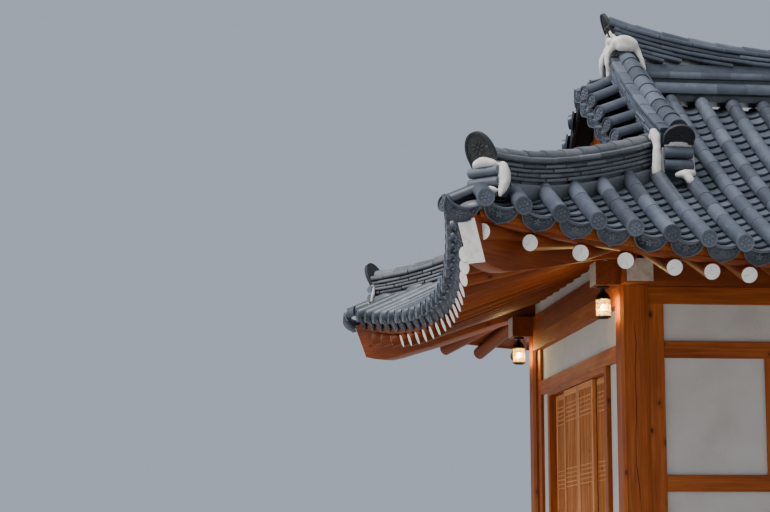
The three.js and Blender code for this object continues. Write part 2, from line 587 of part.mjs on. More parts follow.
/** Ridge over the front left hip. */
function hipRidge() {
  const start = corner(FRONT) - HIP_RIDGE_START;
  const head = GABLE_X - 60;
  const fall = Math.SQRT1_2;
  const surface = (x) => tileTop(corner(FRONT) - FLARE - x, corner(FRONT) - x);
  const body = bent(7, 2, (a, across, up) => {
    const x = THREE.MathUtils.lerp(start, head, (a + 1) / 2);
    const side = (across - 0.5) * HIP_RIDGE_WIDTH * fall;
    const under = across === 0.5 ? surface(x) + 10 - PAN_DROP : surface(x) - 120;
    const top = surface(x) + TILE_HALF + HIP_RIDGE_HEIGHT + 60 * Math.max(0, -a) ** 3;
    return [-x - side, -(x - HALF_X + HALF_Y) + side, up > 0.5 ? top : under];
  });
  const foot = surface(start) + TILE_HALF + 120;
  const end = turned(plaque(PLAQUE), 45).translate([-start + 12, -(start - HALF_X + HALF_Y) + 12, foot]);
  return body.add(end);
}

// ---------------------------------------------------------------- lantern

function lantern(y) {
  const points = LANTERN.profile.map(([radius, down]) => new THREE.Vector2(radius, -down));
  const outline = [new THREE.Vector2(0, 0), ...points, new THREE.Vector2(0, points.at(-1).y)].reverse();
  const turnedBody = new THREE.LatheGeometry(outline, 12).rotateX(Math.PI / 2);
  return solid(turnedBody.translate(-HALF_X - LANTERN.out, y, TOP));
}

// ---------------------------------------------------------------- assembly

const house = new THREE.Group();

/** Adds one named solid to the house. */
function add(name, body, material) {
  const mesh = new THREE.Mesh(geometryOf(body), material());
  mesh.name = name;
  house.add(mesh);
}

/** Adds a wall piece drawn facing -Y, placed at the middle of its bay. */
function addInBay(name, body, material, { x, y, turn }) {
  const mesh = new THREE.Mesh(geometryOf(body), material());
  mesh.name = name;
  mesh.position.set(x, y, 0);
  mesh.rotation.z = turn;
  house.add(mesh);
}

const bays = {
  front_left: { x: -BAY / 2, y: -HALF_Y, turn: 0 },
  front_right: { x: BAY / 2, y: -HALF_Y, turn: 0 },
  rear_left: { x: -BAY / 2, y: HALF_Y, turn: Math.PI },
  rear_right: { x: BAY / 2, y: HALF_Y, turn: Math.PI },
  right: { x: HALF_X, y: 0, turn: Math.PI / 2 },
  left: { x: -HALF_X, y: 0, turn: -Math.PI / 2 },
};

add("podium", podium(), stone);
add("step_stone", stepStone(), stone);
add("floor", floor(), plaster);
for (const place of columnPlaces) add(`column_${place.name}`, column(place), pine);
for (const name of ["front_left", "front_right", "rear_left", "rear_right", "right"]) {
  addInBay(`wall_${name}`, windowWall(), plaster, bays[name]);
  addInBay(`window_${name}`, windowUnit(), paper, bays[name]);
}
addInBay("wall_left_over_door", overDoor(), plaster, bays.left);
addInBay("wall_left_rear_strip", besideDoor(-1), plaster, bays.left);
addInBay("wall_left_front_strip", besideDoor(1), plaster, bays.left);
addInBay("sill_left", block([-CLEAR, CLEAR], wallY, heights(SILL)), pine, bays.left);
addInBay("door_frame", doorFrame(), pine, bays.left);
["rear_inner", "rear_outer", "front_outer", "front_inner"].forEach((name, place) => {
  addInBay(`door_leaf_${name}`, doorLeaf(place), paleWood, bays.left);
});

const plates = {
  front: plate(FRONT, true), rear: turned(plate(FRONT, true), 180),
  left: turned(plate(FLANK, false), -90), right: turned(plate(FLANK, false), 90),
};
const plateSeats = [plate(FRONT, true, GAP), turned(plate(FRONT, true, GAP), 180),
  turned(plate(FLANK, false, GAP), -90), turned(plate(FLANK, false, GAP), 90)];
for (const [name, body] of Object.entries(plates)) add(`wall_plate_${name}`, body, pine);
add("ridge_frame", ridgeFrame(), pine);

const frontSlope = slope(FRONT, [-FLARE, ...eaveRows, hipRow, 2500, HALF_Y + EAVE_OUT - GAP], hipRow);
const flankSlope = slope(FLANK, [-FLARE, ...eaveRows, hipRow], 1e5);
const slopes = {
  front: frontSlope, rear: turned(frontSlope, 180),
  left: turned(flankSlope, -90), right: turned(flankSlope, 90),
};
const tiled = { long: joined([frontSlope, ...coverRows(FRONT)]), short: joined([flankSlope, ...coverRows(FLANK)]) };
const roofs = {
  front: tiled.long, rear: turned(tiled.long, 180),
  left: turned(tiled.short, -90), right: turned(tiled.short, 90),
};
for (const [name, body] of Object.entries(roofs)) add(`roof_${name}`, body, roofTile);

/** The four corners: name, and the hands that mirror the front left one there. */
const corners = [["front_left", 1, 1], ["front_right", -1, 1], ["rear_left", 1, -1], ["rear_right", -1, -1]];
const mirrored = (body, sx, sy) => {
  let result = body;
  if (sx < 0) result = result.mirror([1, 0, 0]);
  if (sy < 0) result = result.mirror([0, 1, 0]);
  return result;
};

const slopesLowered = Object.values(slopes).map((body) => raised(body, -GAP));
const rafterHoles = corners.flatMap(([, sx, sy]) => {
  const hole = mirrored(cornerRafter(GAP, 80), sx, sy);
  return [hole, raised(hole, BOARD_OVER - BOARD_UNDER)];
});
const frontEave = cutBy(eave(FRONT), [slopesLowered[0], ...rafterHoles, ...plateSeats]);
const leftEave = cutBy(turned(eave(FLANK), -90), [slopesLowered[2], ...rafterHoles, ...plateSeats]);
add("eave_front", frontEave, pine);
add("eave_rear", turned(frontEave, 180), pine);
add("eave_left", leftEave, pine);
add("eave_right", turned(leftEave, 180), pine);
for (const [name, sx, sy] of corners) {
  add(`corner_rafter_${name}`, cutBy(mirrored(cornerRafter(), sx, sy), slopesLowered), pine);
}

const onSlopes = Object.values(slopes).map((body) => raised(body, GAP));
const leftGable = cutBy(gable(), onSlopes);
const gables = [leftGable, turned(leftGable, 180)];
add("gable_left", gables[0], pine);
add("gable_right", gables[1], pine);
const besideHips = block([-GABLE_X - 2 * GAP, GABLE_X + 2 * GAP], [-HALF_Y, HALF_Y], [TOP, 2 * TOP]);
add("main_ridge", cutBy(mainRidge(), onSlopes), roofTile);
for (const [name, sx, sy] of corners) {
  add(`gable_ridge_${name}`, cutBy(mirrored(gableRidge(), sx, sy), onSlopes), roofTile);
  add(`hip_ridge_${name}`, cutBy(mirrored(hipRidge(), sx, sy), [...onSlopes, besideHips]), roofTile);
}
add("lantern_front", lantern(-BAY / 2), iron);
add("lantern_rear", lantern(BAY / 2), iron);

export default house;
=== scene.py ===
"""Dressed model of a small Korean timber house with a hip-and-gable tiled roof.

Metres, +Z up, origin at ground level under the middle of the house. The front
faces -Y and the wall with the sliding doors faces -X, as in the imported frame.
"""

import logging
import math
import random
from collections.abc import Callable, Iterable, Sequence
from dataclasses import dataclass, field, replace
from enum import Enum

import bpy
import numpy as np
from mathutils import Matrix, Vector

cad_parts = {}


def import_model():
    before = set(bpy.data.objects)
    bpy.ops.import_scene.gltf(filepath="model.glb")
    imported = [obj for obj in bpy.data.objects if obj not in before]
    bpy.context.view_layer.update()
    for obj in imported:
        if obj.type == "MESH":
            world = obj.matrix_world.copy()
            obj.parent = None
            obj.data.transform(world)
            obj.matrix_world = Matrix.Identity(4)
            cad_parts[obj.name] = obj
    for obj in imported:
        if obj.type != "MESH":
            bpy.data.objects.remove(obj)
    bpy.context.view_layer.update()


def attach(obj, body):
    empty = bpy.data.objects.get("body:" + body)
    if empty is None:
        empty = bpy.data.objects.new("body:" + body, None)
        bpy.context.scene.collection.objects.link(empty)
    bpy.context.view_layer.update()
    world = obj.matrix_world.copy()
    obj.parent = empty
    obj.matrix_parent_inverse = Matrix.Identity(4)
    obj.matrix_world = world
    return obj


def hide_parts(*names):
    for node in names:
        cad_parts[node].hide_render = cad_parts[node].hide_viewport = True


Socket = bpy.types.NodeSocket
log = logging.getLogger("house")

HOUSE = "house"


# Sizes


@dataclass(frozen=True)
class Plan:
    """Sizes of the frame, the same as in the part's source."""

    column: float = 0.24
    bay: float = 3.9
    half_x: float = 4.02
    half_y: float = 2.07
    podium: float = 0.35
    pad: float = 0.2
    top: float = 3.25
    head: tuple[float, float] = (-0.150, 0.0)
    middle: tuple[float, float] = (-0.611, -0.469)
    lower: tuple[float, float] = (-1.740, -1.600)
    sill: tuple[float, float] = (-2.560, -2.400)
    recess: float = 0.045
    depth: float = 0.15
    plaster_recess: float = 0.032
    jamb: float = 0.14
    panel: float = 0.88
    post: float = 0.15
    gap: float = 0.0003

    @property
    def seat(self) -> float:
        """Height of the columns' feet, on the pad stones."""
        return self.podium + self.pad + self.gap

    @property
    def clear(self) -> float:
        """Half the clear width between two columns."""
        return (self.bay - self.column) / 2 - self.gap

    @property
    def window_half(self) -> float:
        """Half the width of a window opening."""
        return self.clear + self.gap - self.jamb - self.panel - self.post

    @property
    def door_half(self) -> float:
        """Half the width of the opening for the door frame."""
        return self.clear + self.gap - self.jamb - 0.38


PLAN = Plan()


@dataclass(frozen=True)
class Side:
    """One side of the roof, drawn facing -Y and then turned into place."""

    name: str
    half: float
    depth: float
    turn: float
    rows: tuple[float, ...]

    @property
    def corner(self) -> float:
        """Distance from the middle of the side to the corner of the eave."""
        return self.half + ROOF.eave_out + ROOF.flare_out

    def inward(self, x: float) -> float:
        """Distance from the corner of a place x from the middle."""
        return self.corner - abs(x)

    def out(self, t: float) -> float:
        """Y of a place t in from the straight line of the tile ends."""
        return -(self.depth + ROOF.eave_out - t)

    @property
    def is_long(self) -> bool:
        """True for the front and the rear, whose slopes reach the main ridge."""
        return self.half > self.depth

    def placed(self) -> Matrix:
        """Turn from the drawn side to its place on the house."""
        return rotate(self.turn, "Z")


@dataclass(frozen=True)
class Roof:
    """Curves of the roof, the same as in the part's source."""

    eave_out: float = 1.34
    rafter_out: float = 1.205
    flare_out: float = 0.45
    turn: float = 3.6
    tile_half: float = 0.06
    gable_x: float = 3.6
    pitch: float = 0.3036
    ridge_half: float = 3.585
    tile_lift: float = 0.105
    tile_slope: float = 0.4516
    tile_hollow: float = 0.0417
    tile_rise: float = 0.58
    rafter_drop: float = 0.11
    rafter_slope: float = 0.4
    rafter_rise: float = 0.335
    rafter_spread: float = 0.4
    rafter_pitch: float = 0.312
    crown: float = 2.57
    crown_rise: float = 0.33
    beam_top: float = 4.8869

    @property
    def to_tile(self) -> float:
        """Distance in plan from the tile ends to the rafter ends."""
        return self.eave_out - self.rafter_out

    def curl(self, from_corner: float, power: float) -> float:
        """Share of a corner's rise at a distance from the corner."""
        return max(0.0, 1 - from_corner / self.turn) ** power

    def flare(self, from_corner: float) -> float:
        """How far the eave lies outside its straight line."""
        return self.flare_out * self.curl(from_corner, 1.6)

    def rafter_flare(self, c: float) -> float:
        """How far the rafter ends lie outside their straight line."""
        return self.rafter_spread * self.curl(c - self.to_tile, 1.6)

    def tile_top(self, t: float, c: float) -> float:
        """Height of the mean tile surface, t in from the eave and c from the corner."""
        z = PLAN.top + self.tile_lift + self.tile_slope * t + self.tile_hollow * t * t
        return z + self.tile_rise * self.curl(c, 1.7)

    def rafter_axis(self, s: float, c: float) -> float:
        """Height of the rafter axes, s in from the straight line of their ends.

        Args:
            s: distance in from the straight line of the rafter ends.
            c: distance from the corner.

        Returns:
            The height.
        """
        end = c - self.to_tile
        rise = self.rafter_rise * self.curl(end, 2.4) + self.rafter_slope * self.rafter_flare(c)
        fade = max(0.0, 1 - 0.92 * max(0.0, s) / (self.rafter_out + PLAN.column / 2))
        return PLAN.top - self.rafter_drop + self.rafter_slope * s + rise * fade

    def hip(self, x: float) -> Vector:
        """Point on the front left hip, at the mean tile surface.

        Args:
            x: distance from the middle of the house, along the front.

        Returns:
            The point.
        """
        t = PLAN.half_x + self.eave_out - x
        z = self.tile_top(t, t + self.flare_out)
        return Vector((-x, -(x - PLAN.half_x + PLAN.half_y), z))

    def ridge_top(self, x: float) -> float:
        """Height of the top of the main ridge."""
        return PLAN.top + self.crown + self.crown_rise * (abs(x) / self.ridge_half) ** 3.5


ROOF = Roof()
LONG_ROWS = tuple(ROOF.pitch * k for k in range(-18, 19))
SHORT_ROWS = tuple(ROOF.pitch * (k + 0.5) for k in range(-12, 12))
SIDES = {
    "front": Side("front", PLAN.half_x, PLAN.half_y, 0.0, LONG_ROWS),
    "rear": Side("rear", PLAN.half_x, PLAN.half_y, math.pi, LONG_ROWS),
    "left": Side("left", PLAN.half_y, PLAN.half_x, -math.pi / 2, SHORT_ROWS),
    "right": Side("right", PLAN.half_y, PLAN.half_x, math.pi / 2, SHORT_ROWS),
}
CORNERS = {"front_left": (1, 1), "front_right": (-1, 1), "rear_left": (1, -1), "rear_right": (-1, -1)}


# Finishes


class Surface(Enum):
    """The pattern that a finish draws."""

    GRAIN = "grain"
    CLAY = "clay"
    LIME = "lime"
    STONE = "stone"
    PAINT = "paint"
    PLAIN = "plain"


class Graph:
    """A material's node tree, built one node at a time."""

    def __init__(self, name: str) -> None:
        """Starts an empty material with a shader and its output.

        Args:
            name: the material's name.
        """
        self.material = bpy.data.materials.new(name)
        self.material.use_nodes = True
        self.tree = self.material.node_tree
        self.tree.nodes.clear()
        self.shader = self.node("ShaderNodeBsdfPrincipled")
        output = self.node("ShaderNodeOutputMaterial")
        self.link(self.shader.outputs[0], output.inputs[0])

    def node(self, kind: str, inputs: dict | None = None, **settings: object) -> bpy.types.Node:
        """Adds a node; inputs holds values or sockets by input name or number.

        Args:
            kind: the node's type.
            inputs: values or sockets by input name or number.
            settings: its other settings.

        Returns:
            The node.
        """
        made = self.tree.nodes.new(kind)
        for key, value in settings.items():
            setattr(made, key, value)
        for key, value in (inputs or {}).items():
            self.put(made.inputs[key], value)
        return made

    def put(self, socket: Socket, value: object) -> None:
        """Gives a socket a value or a link.

        Args:
            socket: the input.
            value: a value or an output.
        """
        if isinstance(value, Socket):
            self.link(value, socket)
        else:
            socket.default_value = value

    def link(self, source: Socket, target: Socket) -> None:
        """Links two sockets."""
        self.tree.links.new(source, target)

    def local(self, scale: Sequence[float] = (1, 1, 1)) -> Socket:
        """The piece's own coordinates in metres, stretched by scale."""
        read = self.node("ShaderNodeAttribute", attribute_name="local")
        return self.node("ShaderNodeMapping", {"Vector": read.outputs["Vector"], "Scale": scale}).outputs[0]

    def tone(self) -> Socket:
        """The random value of each copied piece."""
        return self.node("ShaderNodeAttribute", attribute_name="tone").outputs["Fac"]

    def noise(self, vector: Socket, scale: float, detail: float = 4.0, distortion: float = 0.0) -> Socket:
        """Value of a noise texture."""
        inputs = {"Vector": vector, "Scale": scale, "Detail": detail, "Distortion": distortion}
        return self.node("ShaderNodeTexNoise", inputs).outputs["Fac"]

    def math(self, operation: str, *values: object) -> Socket:
        """Result of a math node."""
        return self.node("ShaderNodeMath", dict(enumerate(values)), operation=operation).outputs[0]

    def plus(self, first: object, second: object) -> Socket:
        """Sum of two values."""
        return self.math("ADD", first, second)

    def minus(self, first: object, second: object) -> Socket:
        """Difference of two values."""
        return self.math("SUBTRACT", first, second)

    def times(self, first: object, second: object) -> Socket:
        """Product of two values."""
        return self.math("MULTIPLY", first, second)

    def band(self, value: Socket, low: float, high: float) -> Socket:
        """0 below low, 1 above high, smooth between; falls instead where high is under low.

        Args:
            value: the value.
            low: where the band starts.
            high: where it ends, below low for a falling band.

        Returns:
            The share in 0..1.
        """
        first, last = (0.0, 1.0) if high > low else (1.0, 0.0)
        inputs = {"Value": value, "From Min": min(low, high), "From Max": max(low, high)}
        inputs |= {"To Min": first, "To Max": last}
        return self.node("ShaderNodeMapRange", inputs, interpolation_type="SMOOTHSTEP").outputs[0]

    def ramp(self, value: Socket, stops: Sequence[tuple[float, Sequence[float]]]) -> Socket:
        """Colour ramp over value.

        Args:
            value: the value.
            stops: places in 0..1 and their colours.

        Returns:
            The colour.
        """
        made = self.node("ShaderNodeValToRGB", {"Fac": value})
        elements = made.color_ramp.elements
        while len(elements) < len(stops):
            elements.new(0.5)
        for element, (place, color) in zip(elements, stops):
            element.position = place
            element.color = (*color, 1.0)
        return made.outputs["Color"]

    def mix(self, share: object, first: object, second: object, blend: str = "MIX") -> Socket:
        """Mix of two colours by a share.

        Args:
            share: how much of the second colour.
            first: a colour.
            second: a colour.
            blend: how they are blended.

        Returns:
            The colour.
        """
        made = self.node("ShaderNodeMix", data_type="RGBA", blend_type=blend)
        self.put(made.inputs["Factor"], share)
        for socket, value in ((made.inputs[6], first), (made.inputs[7], second)):
            self.put(socket, value if isinstance(value, Socket) else (*value, 1.0))
        return made.outputs[2]

    def bump(self, height: Socket, strength: float, distance: float) -> None:
        """Bumps the shader's surface by a height in 0..1 over a distance in metres."""
        made = self.node("ShaderNodeBump", {"Height": height, "Strength": strength, "Distance": distance})
        self.link(made.outputs[0], self.shader.inputs["Normal"])

    def surface(self, color: object, roughness: object) -> None:
        """Sets the shader's colour and roughness."""
        self.put(self.shader.inputs["Base Color"], color if isinstance(color, Socket) else (*color, 1.0))
        self.put(self.shader.inputs["Roughness"], roughness)


@dataclass(frozen=True)
class Finish:
    """A named finish: three colours from dark to light, and how it shines."""

    name: str
    surface: Surface
    dark: tuple[float, float, float]
    mid: tuple[float, float, float]
    light: tuple[float, float, float]
    roughness: float = 0.6
    metallic: float = 0.0
    glow: float = 0.0
    alpha: float = 1.0
    scale: float = 1.0
    check: float = 0.0

    def build(self) -> bpy.types.Material:
        """Makes the material.

        Returns:
            The material, made once and then found again by its name.
        """
        if self in MADE:
            return MADE[self]
        graph = Graph(self.name)
        MADE[self] = graph.material
        draw = {
            Surface.GRAIN: self._grain, Surface.CLAY: self._clay, Surface.LIME: self._lime,
            Surface.STONE: self._stone, Surface.PAINT: self._paint, Surface.PLAIN: self._plain,
        }
        draw[self.surface](graph)
        graph.shader.inputs["Metallic"].default_value = self.metallic
        if self.glow:
            graph.shader.inputs["Emission Color"].default_value = (*self.light, 1.0)
            graph.shader.inputs["Emission Strength"].default_value = self.glow
        if self.alpha < 1:
            graph.shader.inputs["Alpha"].default_value = self.alpha
        return graph.material

    def _grain(self, g: Graph) -> None:
        """Sawn pine: soft rings and fine streaks along the piece, knots and drying cracks."""
        k = self.scale
        broad = g.noise(g.local((0.22, 1.0, 1.0)), 5.0 * k, 4.0, 0.5)
        rings = g.noise(g.local((0.035, 1.0, 1.0)), 42.0 * k, 3.0, 0.8)
        streaks = g.noise(g.local((0.02, 1.0, 1.0)), 240.0 * k, 4.0)
        grain = g.plus(g.times(rings, 0.6), g.times(streaks, 0.4))
        value = g.plus(g.times(grain, 0.62), g.times(broad, 0.38))
        color = g.ramp(value, [(0.36, self.light), (0.5, self.mid), (0.66, self.dark)])
        shade = g.ramp(g.tone(), [(0.0, (0.86, 0.84, 0.82)), (1.0, (1.12, 1.12, 1.12))])
        color = g.mix(1.0, color, shade, "MULTIPLY")
        inputs = {"Vector": g.local((3.2, 5.5, 5.5)), "Scale": 1.15 * k, "Randomness": 1.0}
        cell = g.node("ShaderNodeTexVoronoi", inputs).outputs["Distance"]
        color = g.mix(g.times(g.band(cell, 0.26, 0.11), 0.45), color, self.dark)
        color = g.mix(
            g.times(g.band(cell, 0.115, 0.075), 0.85), color, tuple(0.25 * part for part in self.dark)
        )
        crack: object = 0.0
        if self.check:
            split = g.node("ShaderNodeSeparateXYZ", {"Vector": g.local()})
            for axis, start in ((1, 0.0), (2, 7.0)):
                inputs = {"X": split.outputs[0], "Y": g.times(g.tone(), 40.0), "Z": start}
                walk = g.node("ShaderNodeCombineXYZ", inputs).outputs[0]
                middle = g.times(g.minus(g.noise(walk, 1.1, 6.0), 0.5), 0.16)
                wide = g.times(g.band(g.noise(walk, 0.8, 1.0), 0.42, 0.6), self.check)
                off = g.math("ABSOLUTE", g.minus(split.outputs[axis], middle))
                crack = g.math("MAXIMUM", crack, g.math("LESS_THAN", off, wide))
            color = g.mix(g.times(crack, 0.85), color, tuple(0.1 * part for part in self.dark))
        g.surface(color, g.plus(g.times(streaks, 0.2), self.roughness - 0.1))
        g.shader.inputs["Specular IOR Level"].default_value = 0.2
        g.bump(g.minus(g.times(grain, 0.3), crack), 0.4, 0.0015)

    def _clay(self, g: Graph) -> None:
        """Smoked clay: each piece a shade of its own, cloudy, with dust and fine pits."""
        cloud = g.noise(g.local(), 9.0 * self.scale, 4.0, 0.4)
        fine = g.noise(g.local(), 170.0, 3.0)
        shade = g.plus(g.times(g.tone(), 0.55), g.times(cloud, 0.5))
        color = g.ramp(shade, [(0.14, self.dark), (0.48, self.mid), (0.9, self.light)])
        dust = g.times(g.band(g.noise(g.local(), 26.0, 6.0, 0.6), 0.62, 0.74), 0.34)
        color = g.mix(dust, color, (0.29, 0.27, 0.235))
        g.surface(color, g.plus(g.times(fine, 0.22), self.roughness - 0.1))
        g.shader.inputs["Specular IOR Level"].default_value = 0.45
        g.bump(g.plus(fine, g.times(cloud, 1.5)), 0.35, 0.0012)

    def _lime(self, g: Graph) -> None:
        """Lime plaster: cloudy, faintly trowelled, with a few fine stains."""
        cloud = g.noise(g.local(), 2.6 * self.scale, 6.0, 0.3)
        fine = g.noise(g.local(), 60.0 * self.scale, 5.0)
        color = g.ramp(g.plus(g.times(cloud, 0.8), g.times(fine, 0.2)),
                       [(0.3, self.dark), (0.5, self.mid), (0.7, self.light)])
        g.surface(color, self.roughness)
        g.bump(g.plus(fine, cloud), 0.35, 0.0025 * self.scale)

    def _stone(self, g: Graph) -> None:
        """Dressed granite: dark and pale grains on a cloudy ground."""
        speck = g.node("ShaderNodeTexVoronoi", {"Vector": g.local(), "Scale": 210.0}).outputs["Color"]
        value = g.node("ShaderNodeSeparateColor", {"Color": speck}).outputs[0]
        cloud = g.noise(g.local(), 4.0, 5.0)
        color = g.ramp(value, [(0.08, self.dark), (0.3, self.mid), (0.92, self.light)])
        shade = g.plus(g.times(g.tone(), 0.4), g.times(cloud, 0.6))
        color = g.mix(
            1.0, color, g.ramp(shade, [(0.2, (0.72, 0.71, 0.69)), (0.8, (1.12, 1.1, 1.07))]), "MULTIPLY"
        )
        g.surface(color, self.roughness)
        g.bump(g.plus(value, g.times(cloud, 2.0)), 0.4, 0.002)

    def _paint(self, g: Graph) -> None:
        """White paint on end grain: faint stains and one short crack out from the middle."""
        split = g.node("ShaderNodeSeparateXYZ", {"Vector": g.local()})
        angle = g.times(g.tone(), math.tau)
        cos, sin = g.math("COSINE", angle), g.math("SINE", angle)
        ahead = g.plus(g.times(split.outputs[1], cos), g.times(split.outputs[2], sin))
        aside = g.minus(g.times(split.outputs[2], cos), g.times(split.outputs[1], sin))
        wander = g.times(g.minus(g.noise(g.local(), 45.0, 2.0), 0.5), 0.012)
        line = g.band(g.math("ABSOLUTE", g.plus(aside, wander)), 0.0022, 0.0008)
        crack = g.times(line, g.times(g.band(ahead, 0.002, 0.006), g.band(ahead, 0.05, 0.036)))
        cloud = g.noise(g.local(), 16.0, 4.0)
        color = g.ramp(cloud, [(0.25, self.dark), (0.42, self.mid), (0.7, self.light)])
        color = g.mix(g.times(crack, 0.8), color, (0.12, 0.09, 0.07))
        g.surface(color, self.roughness)
        g.bump(g.minus(g.times(cloud, 0.3), crack), 0.3, 0.001)

    def _plain(self, g: Graph) -> None:
        """An even surface with a faint cloud in colour and roughness."""
        cloud = g.noise(g.local(), 14.0 * self.scale, 5.0)
        color = g.ramp(cloud, [(0.25, self.dark), (0.5, self.mid), (0.75, self.light)])
        g.surface(color, g.plus(g.times(cloud, 0.2), self.roughness - 0.1))
        g.bump(cloud, 0.2, 0.0008)


MADE: dict[Finish, bpy.types.Material] = {}
PINE = Finish(
    "oiled_pine", Surface.GRAIN, (0.160, 0.030, 0.0032), (0.285, 0.064, 0.0075), (0.385, 0.110, 0.018), 0.55
)
OLD_PINE = replace(PINE, name="checked_pine", scale=0.8, check=0.0035)
# Darker copy of the pine: painted shade for the rafters, boards, batten and corner rafter under the eaves.
SHADED_EAVE_PINE = Finish(
    "eave_pine", Surface.GRAIN, (0.10, 0.017, 0.002), (0.17, 0.034, 0.005), (0.235, 0.060, 0.012), 0.5
)
# Darker pine with drying cracks: painted shade for the wall plates under the eaves.
SHADED_PLATE_PINE = replace(SHADED_EAVE_PINE, name="plate_pine", roughness=0.55, scale=0.8, check=0.003)
PALE_PINE = Finish(
    "pale_pine", Surface.GRAIN, (0.37, 0.115, 0.028), (0.52, 0.195, 0.056), (0.63, 0.275, 0.092), 0.6,
    scale=1.6
)
CLAY = Finish(
    "roof_clay", Surface.CLAY, (0.033, 0.039, 0.051), (0.063, 0.075, 0.098), (0.115, 0.135, 0.170), 0.36
)
# Lighter, greyer copy of the roof clay: painted light for the hip ridges, which face the sky.
LIT_HIP_CLAY = Finish(
    "hip_clay", Surface.CLAY, (0.058, 0.062, 0.070), (0.105, 0.112, 0.124), (0.170, 0.180, 0.198), 0.42
)
# Near-black clay: painted shade for the bed seen between the tiles, the ridge plaques, and the barge boards
# and soffits under the verges.
SHADE_BLACK_CLAY = Finish(
    "black_clay", Surface.CLAY, (0.005, 0.005, 0.006), (0.011, 0.011, 0.013), (0.024, 0.024, 0.027), 0.66
)
LIME = Finish(
    "ridge_lime", Surface.LIME, (0.40, 0.36, 0.30), (0.64, 0.61, 0.56), (0.78, 0.77, 0.75), 0.9, scale=3.0
)
PLASTER = Finish(
    "wall_plaster", Surface.LIME, (0.44, 0.410, 0.375), (0.50, 0.470, 0.435), (0.54, 0.515, 0.48), 0.92
)
GRANITE = Finish(
    "dressed_granite", Surface.STONE, (0.16, 0.15, 0.145), (0.40, 0.385, 0.365), (0.56, 0.545, 0.52), 0.8
)
WHITE = Finish("white_ends", Surface.PAINT, (0.58, 0.55, 0.49), (0.74, 0.72, 0.67), (0.80, 0.785, 0.75), 0.6)
# White end paint drawn darker and creamier: painted shade for the plate ends under the eaves.
SHADED_CREAM = Finish("cream_ends", Surface.PAINT, (0.30, 0.25, 0.19), (0.42, 0.355, 0.275), (0.50, 0.43, 0.34), 0.6)
PAPER = Finish(
    "window_paper", Surface.PLAIN, (0.62, 0.62, 0.60), (0.68, 0.68, 0.66), (0.74, 0.74, 0.72), 0.85
)
PANEL = Finish(
    "door_panel", Surface.GRAIN, (0.19, 0.054, 0.014), (0.28, 0.090, 0.026), (0.36, 0.132, 0.042), 0.7
)
FLOOR_PAPER = Finish(
    "floor_paper", Surface.PLAIN, (0.50, 0.36, 0.16), (0.56, 0.41, 0.19), (0.60, 0.45, 0.22), 0.45
)
IRON = Finish(
    "black_iron", Surface.PLAIN, (0.018, 0.015, 0.012), (0.03, 0.026, 0.022), (0.05, 0.042, 0.035), 0.5,
    metallic=0.8
)
BRASS = Finish(
    "brass_grid", Surface.PLAIN, (0.20, 0.12, 0.045), (0.32, 0.20, 0.08), (0.42, 0.28, 0.12), 0.4,
    metallic=0.9
)
GLASS = Finish(
    "lamp_glass", Surface.PLAIN, (0.05, 0.02, 0.004), (0.07, 0.03, 0.006), (1.0, 0.47, 0.10), 0.25, glow=2.4,
    alpha=0.5
)
STAGE = Finish("stage", Surface.PLAIN, (0.41, 0.405, 0.39), (0.43, 0.425, 0.41), (0.45, 0.445, 0.43), 0.9)
LAMP = Finish("lamp", Surface.PLAIN, (1.0, 0.7, 0.35), (1.0, 0.8, 0.5), (1.0, 0.74, 0.42), 0.4, glow=25.0)


# Modelling by operator


@dataclass
class Stock:
    """A modelled piece as arrays, ready to be copied.

    points holds a vertex in each row, loops the vertex numbers of all faces in
    turn, and sizes how many of them each face has.
    """

    points: np.ndarray
    loops: np.ndarray
    sizes: np.ndarray

    def scaled(self, x: float = 1.0, y: float = 1.0, z: float = 1.0) -> "Stock":
        """The same piece at another size."""
        return Stock(self.points * (x, y, z), self.loops, self.sizes)

    def moved(self, place: Matrix) -> "Stock":
        """The same piece turned and moved."""
        turn = np.array(place.to_3x3())
        return Stock(self.points @ turn.T + np.array(place.translation), self.loops, self.sizes)

    def bent(self, place: Callable[[np.ndarray], np.ndarray]) -> "Stock":
        """The same piece with its points moved by a formula."""
        return Stock(place(self.points.copy()), self.loops, self.sizes)


def gathered(parts: Iterable[Stock]) -> Stock:
    """Several pieces as one.

    Args:
        parts: the pieces.

    Returns:
        One piece.
    """
    parts = list(parts)
    starts = np.cumsum([0] + [len(part.points) for part in parts])
    return Stock(
        np.concatenate([part.points for part in parts]),
        np.concatenate([part.loops + start for part, start in zip(parts, starts)]),
        np.concatenate([part.sizes for part in parts]),
    )


def taken() -> Stock:
    """The active object as arrays; the object itself is removed.

    Returns:
        The arrays of its mesh.
    """
    mesh = bpy.context.active_object.data
    points = np.empty(len(mesh.vertices) * 3)
    mesh.vertices.foreach_get("co", points)
    loops = np.empty(len(mesh.loops), dtype=np.int64)
    mesh.loops.foreach_get("vertex_index", loops)
    sizes = np.empty(len(mesh.polygons), dtype=np.int64)
    mesh.polygons.foreach_get("loop_total", sizes)
    bpy.ops.object.delete()
    bpy.data.meshes.remove(mesh)
    return Stock(points.reshape(-1, 3), loops, sizes)


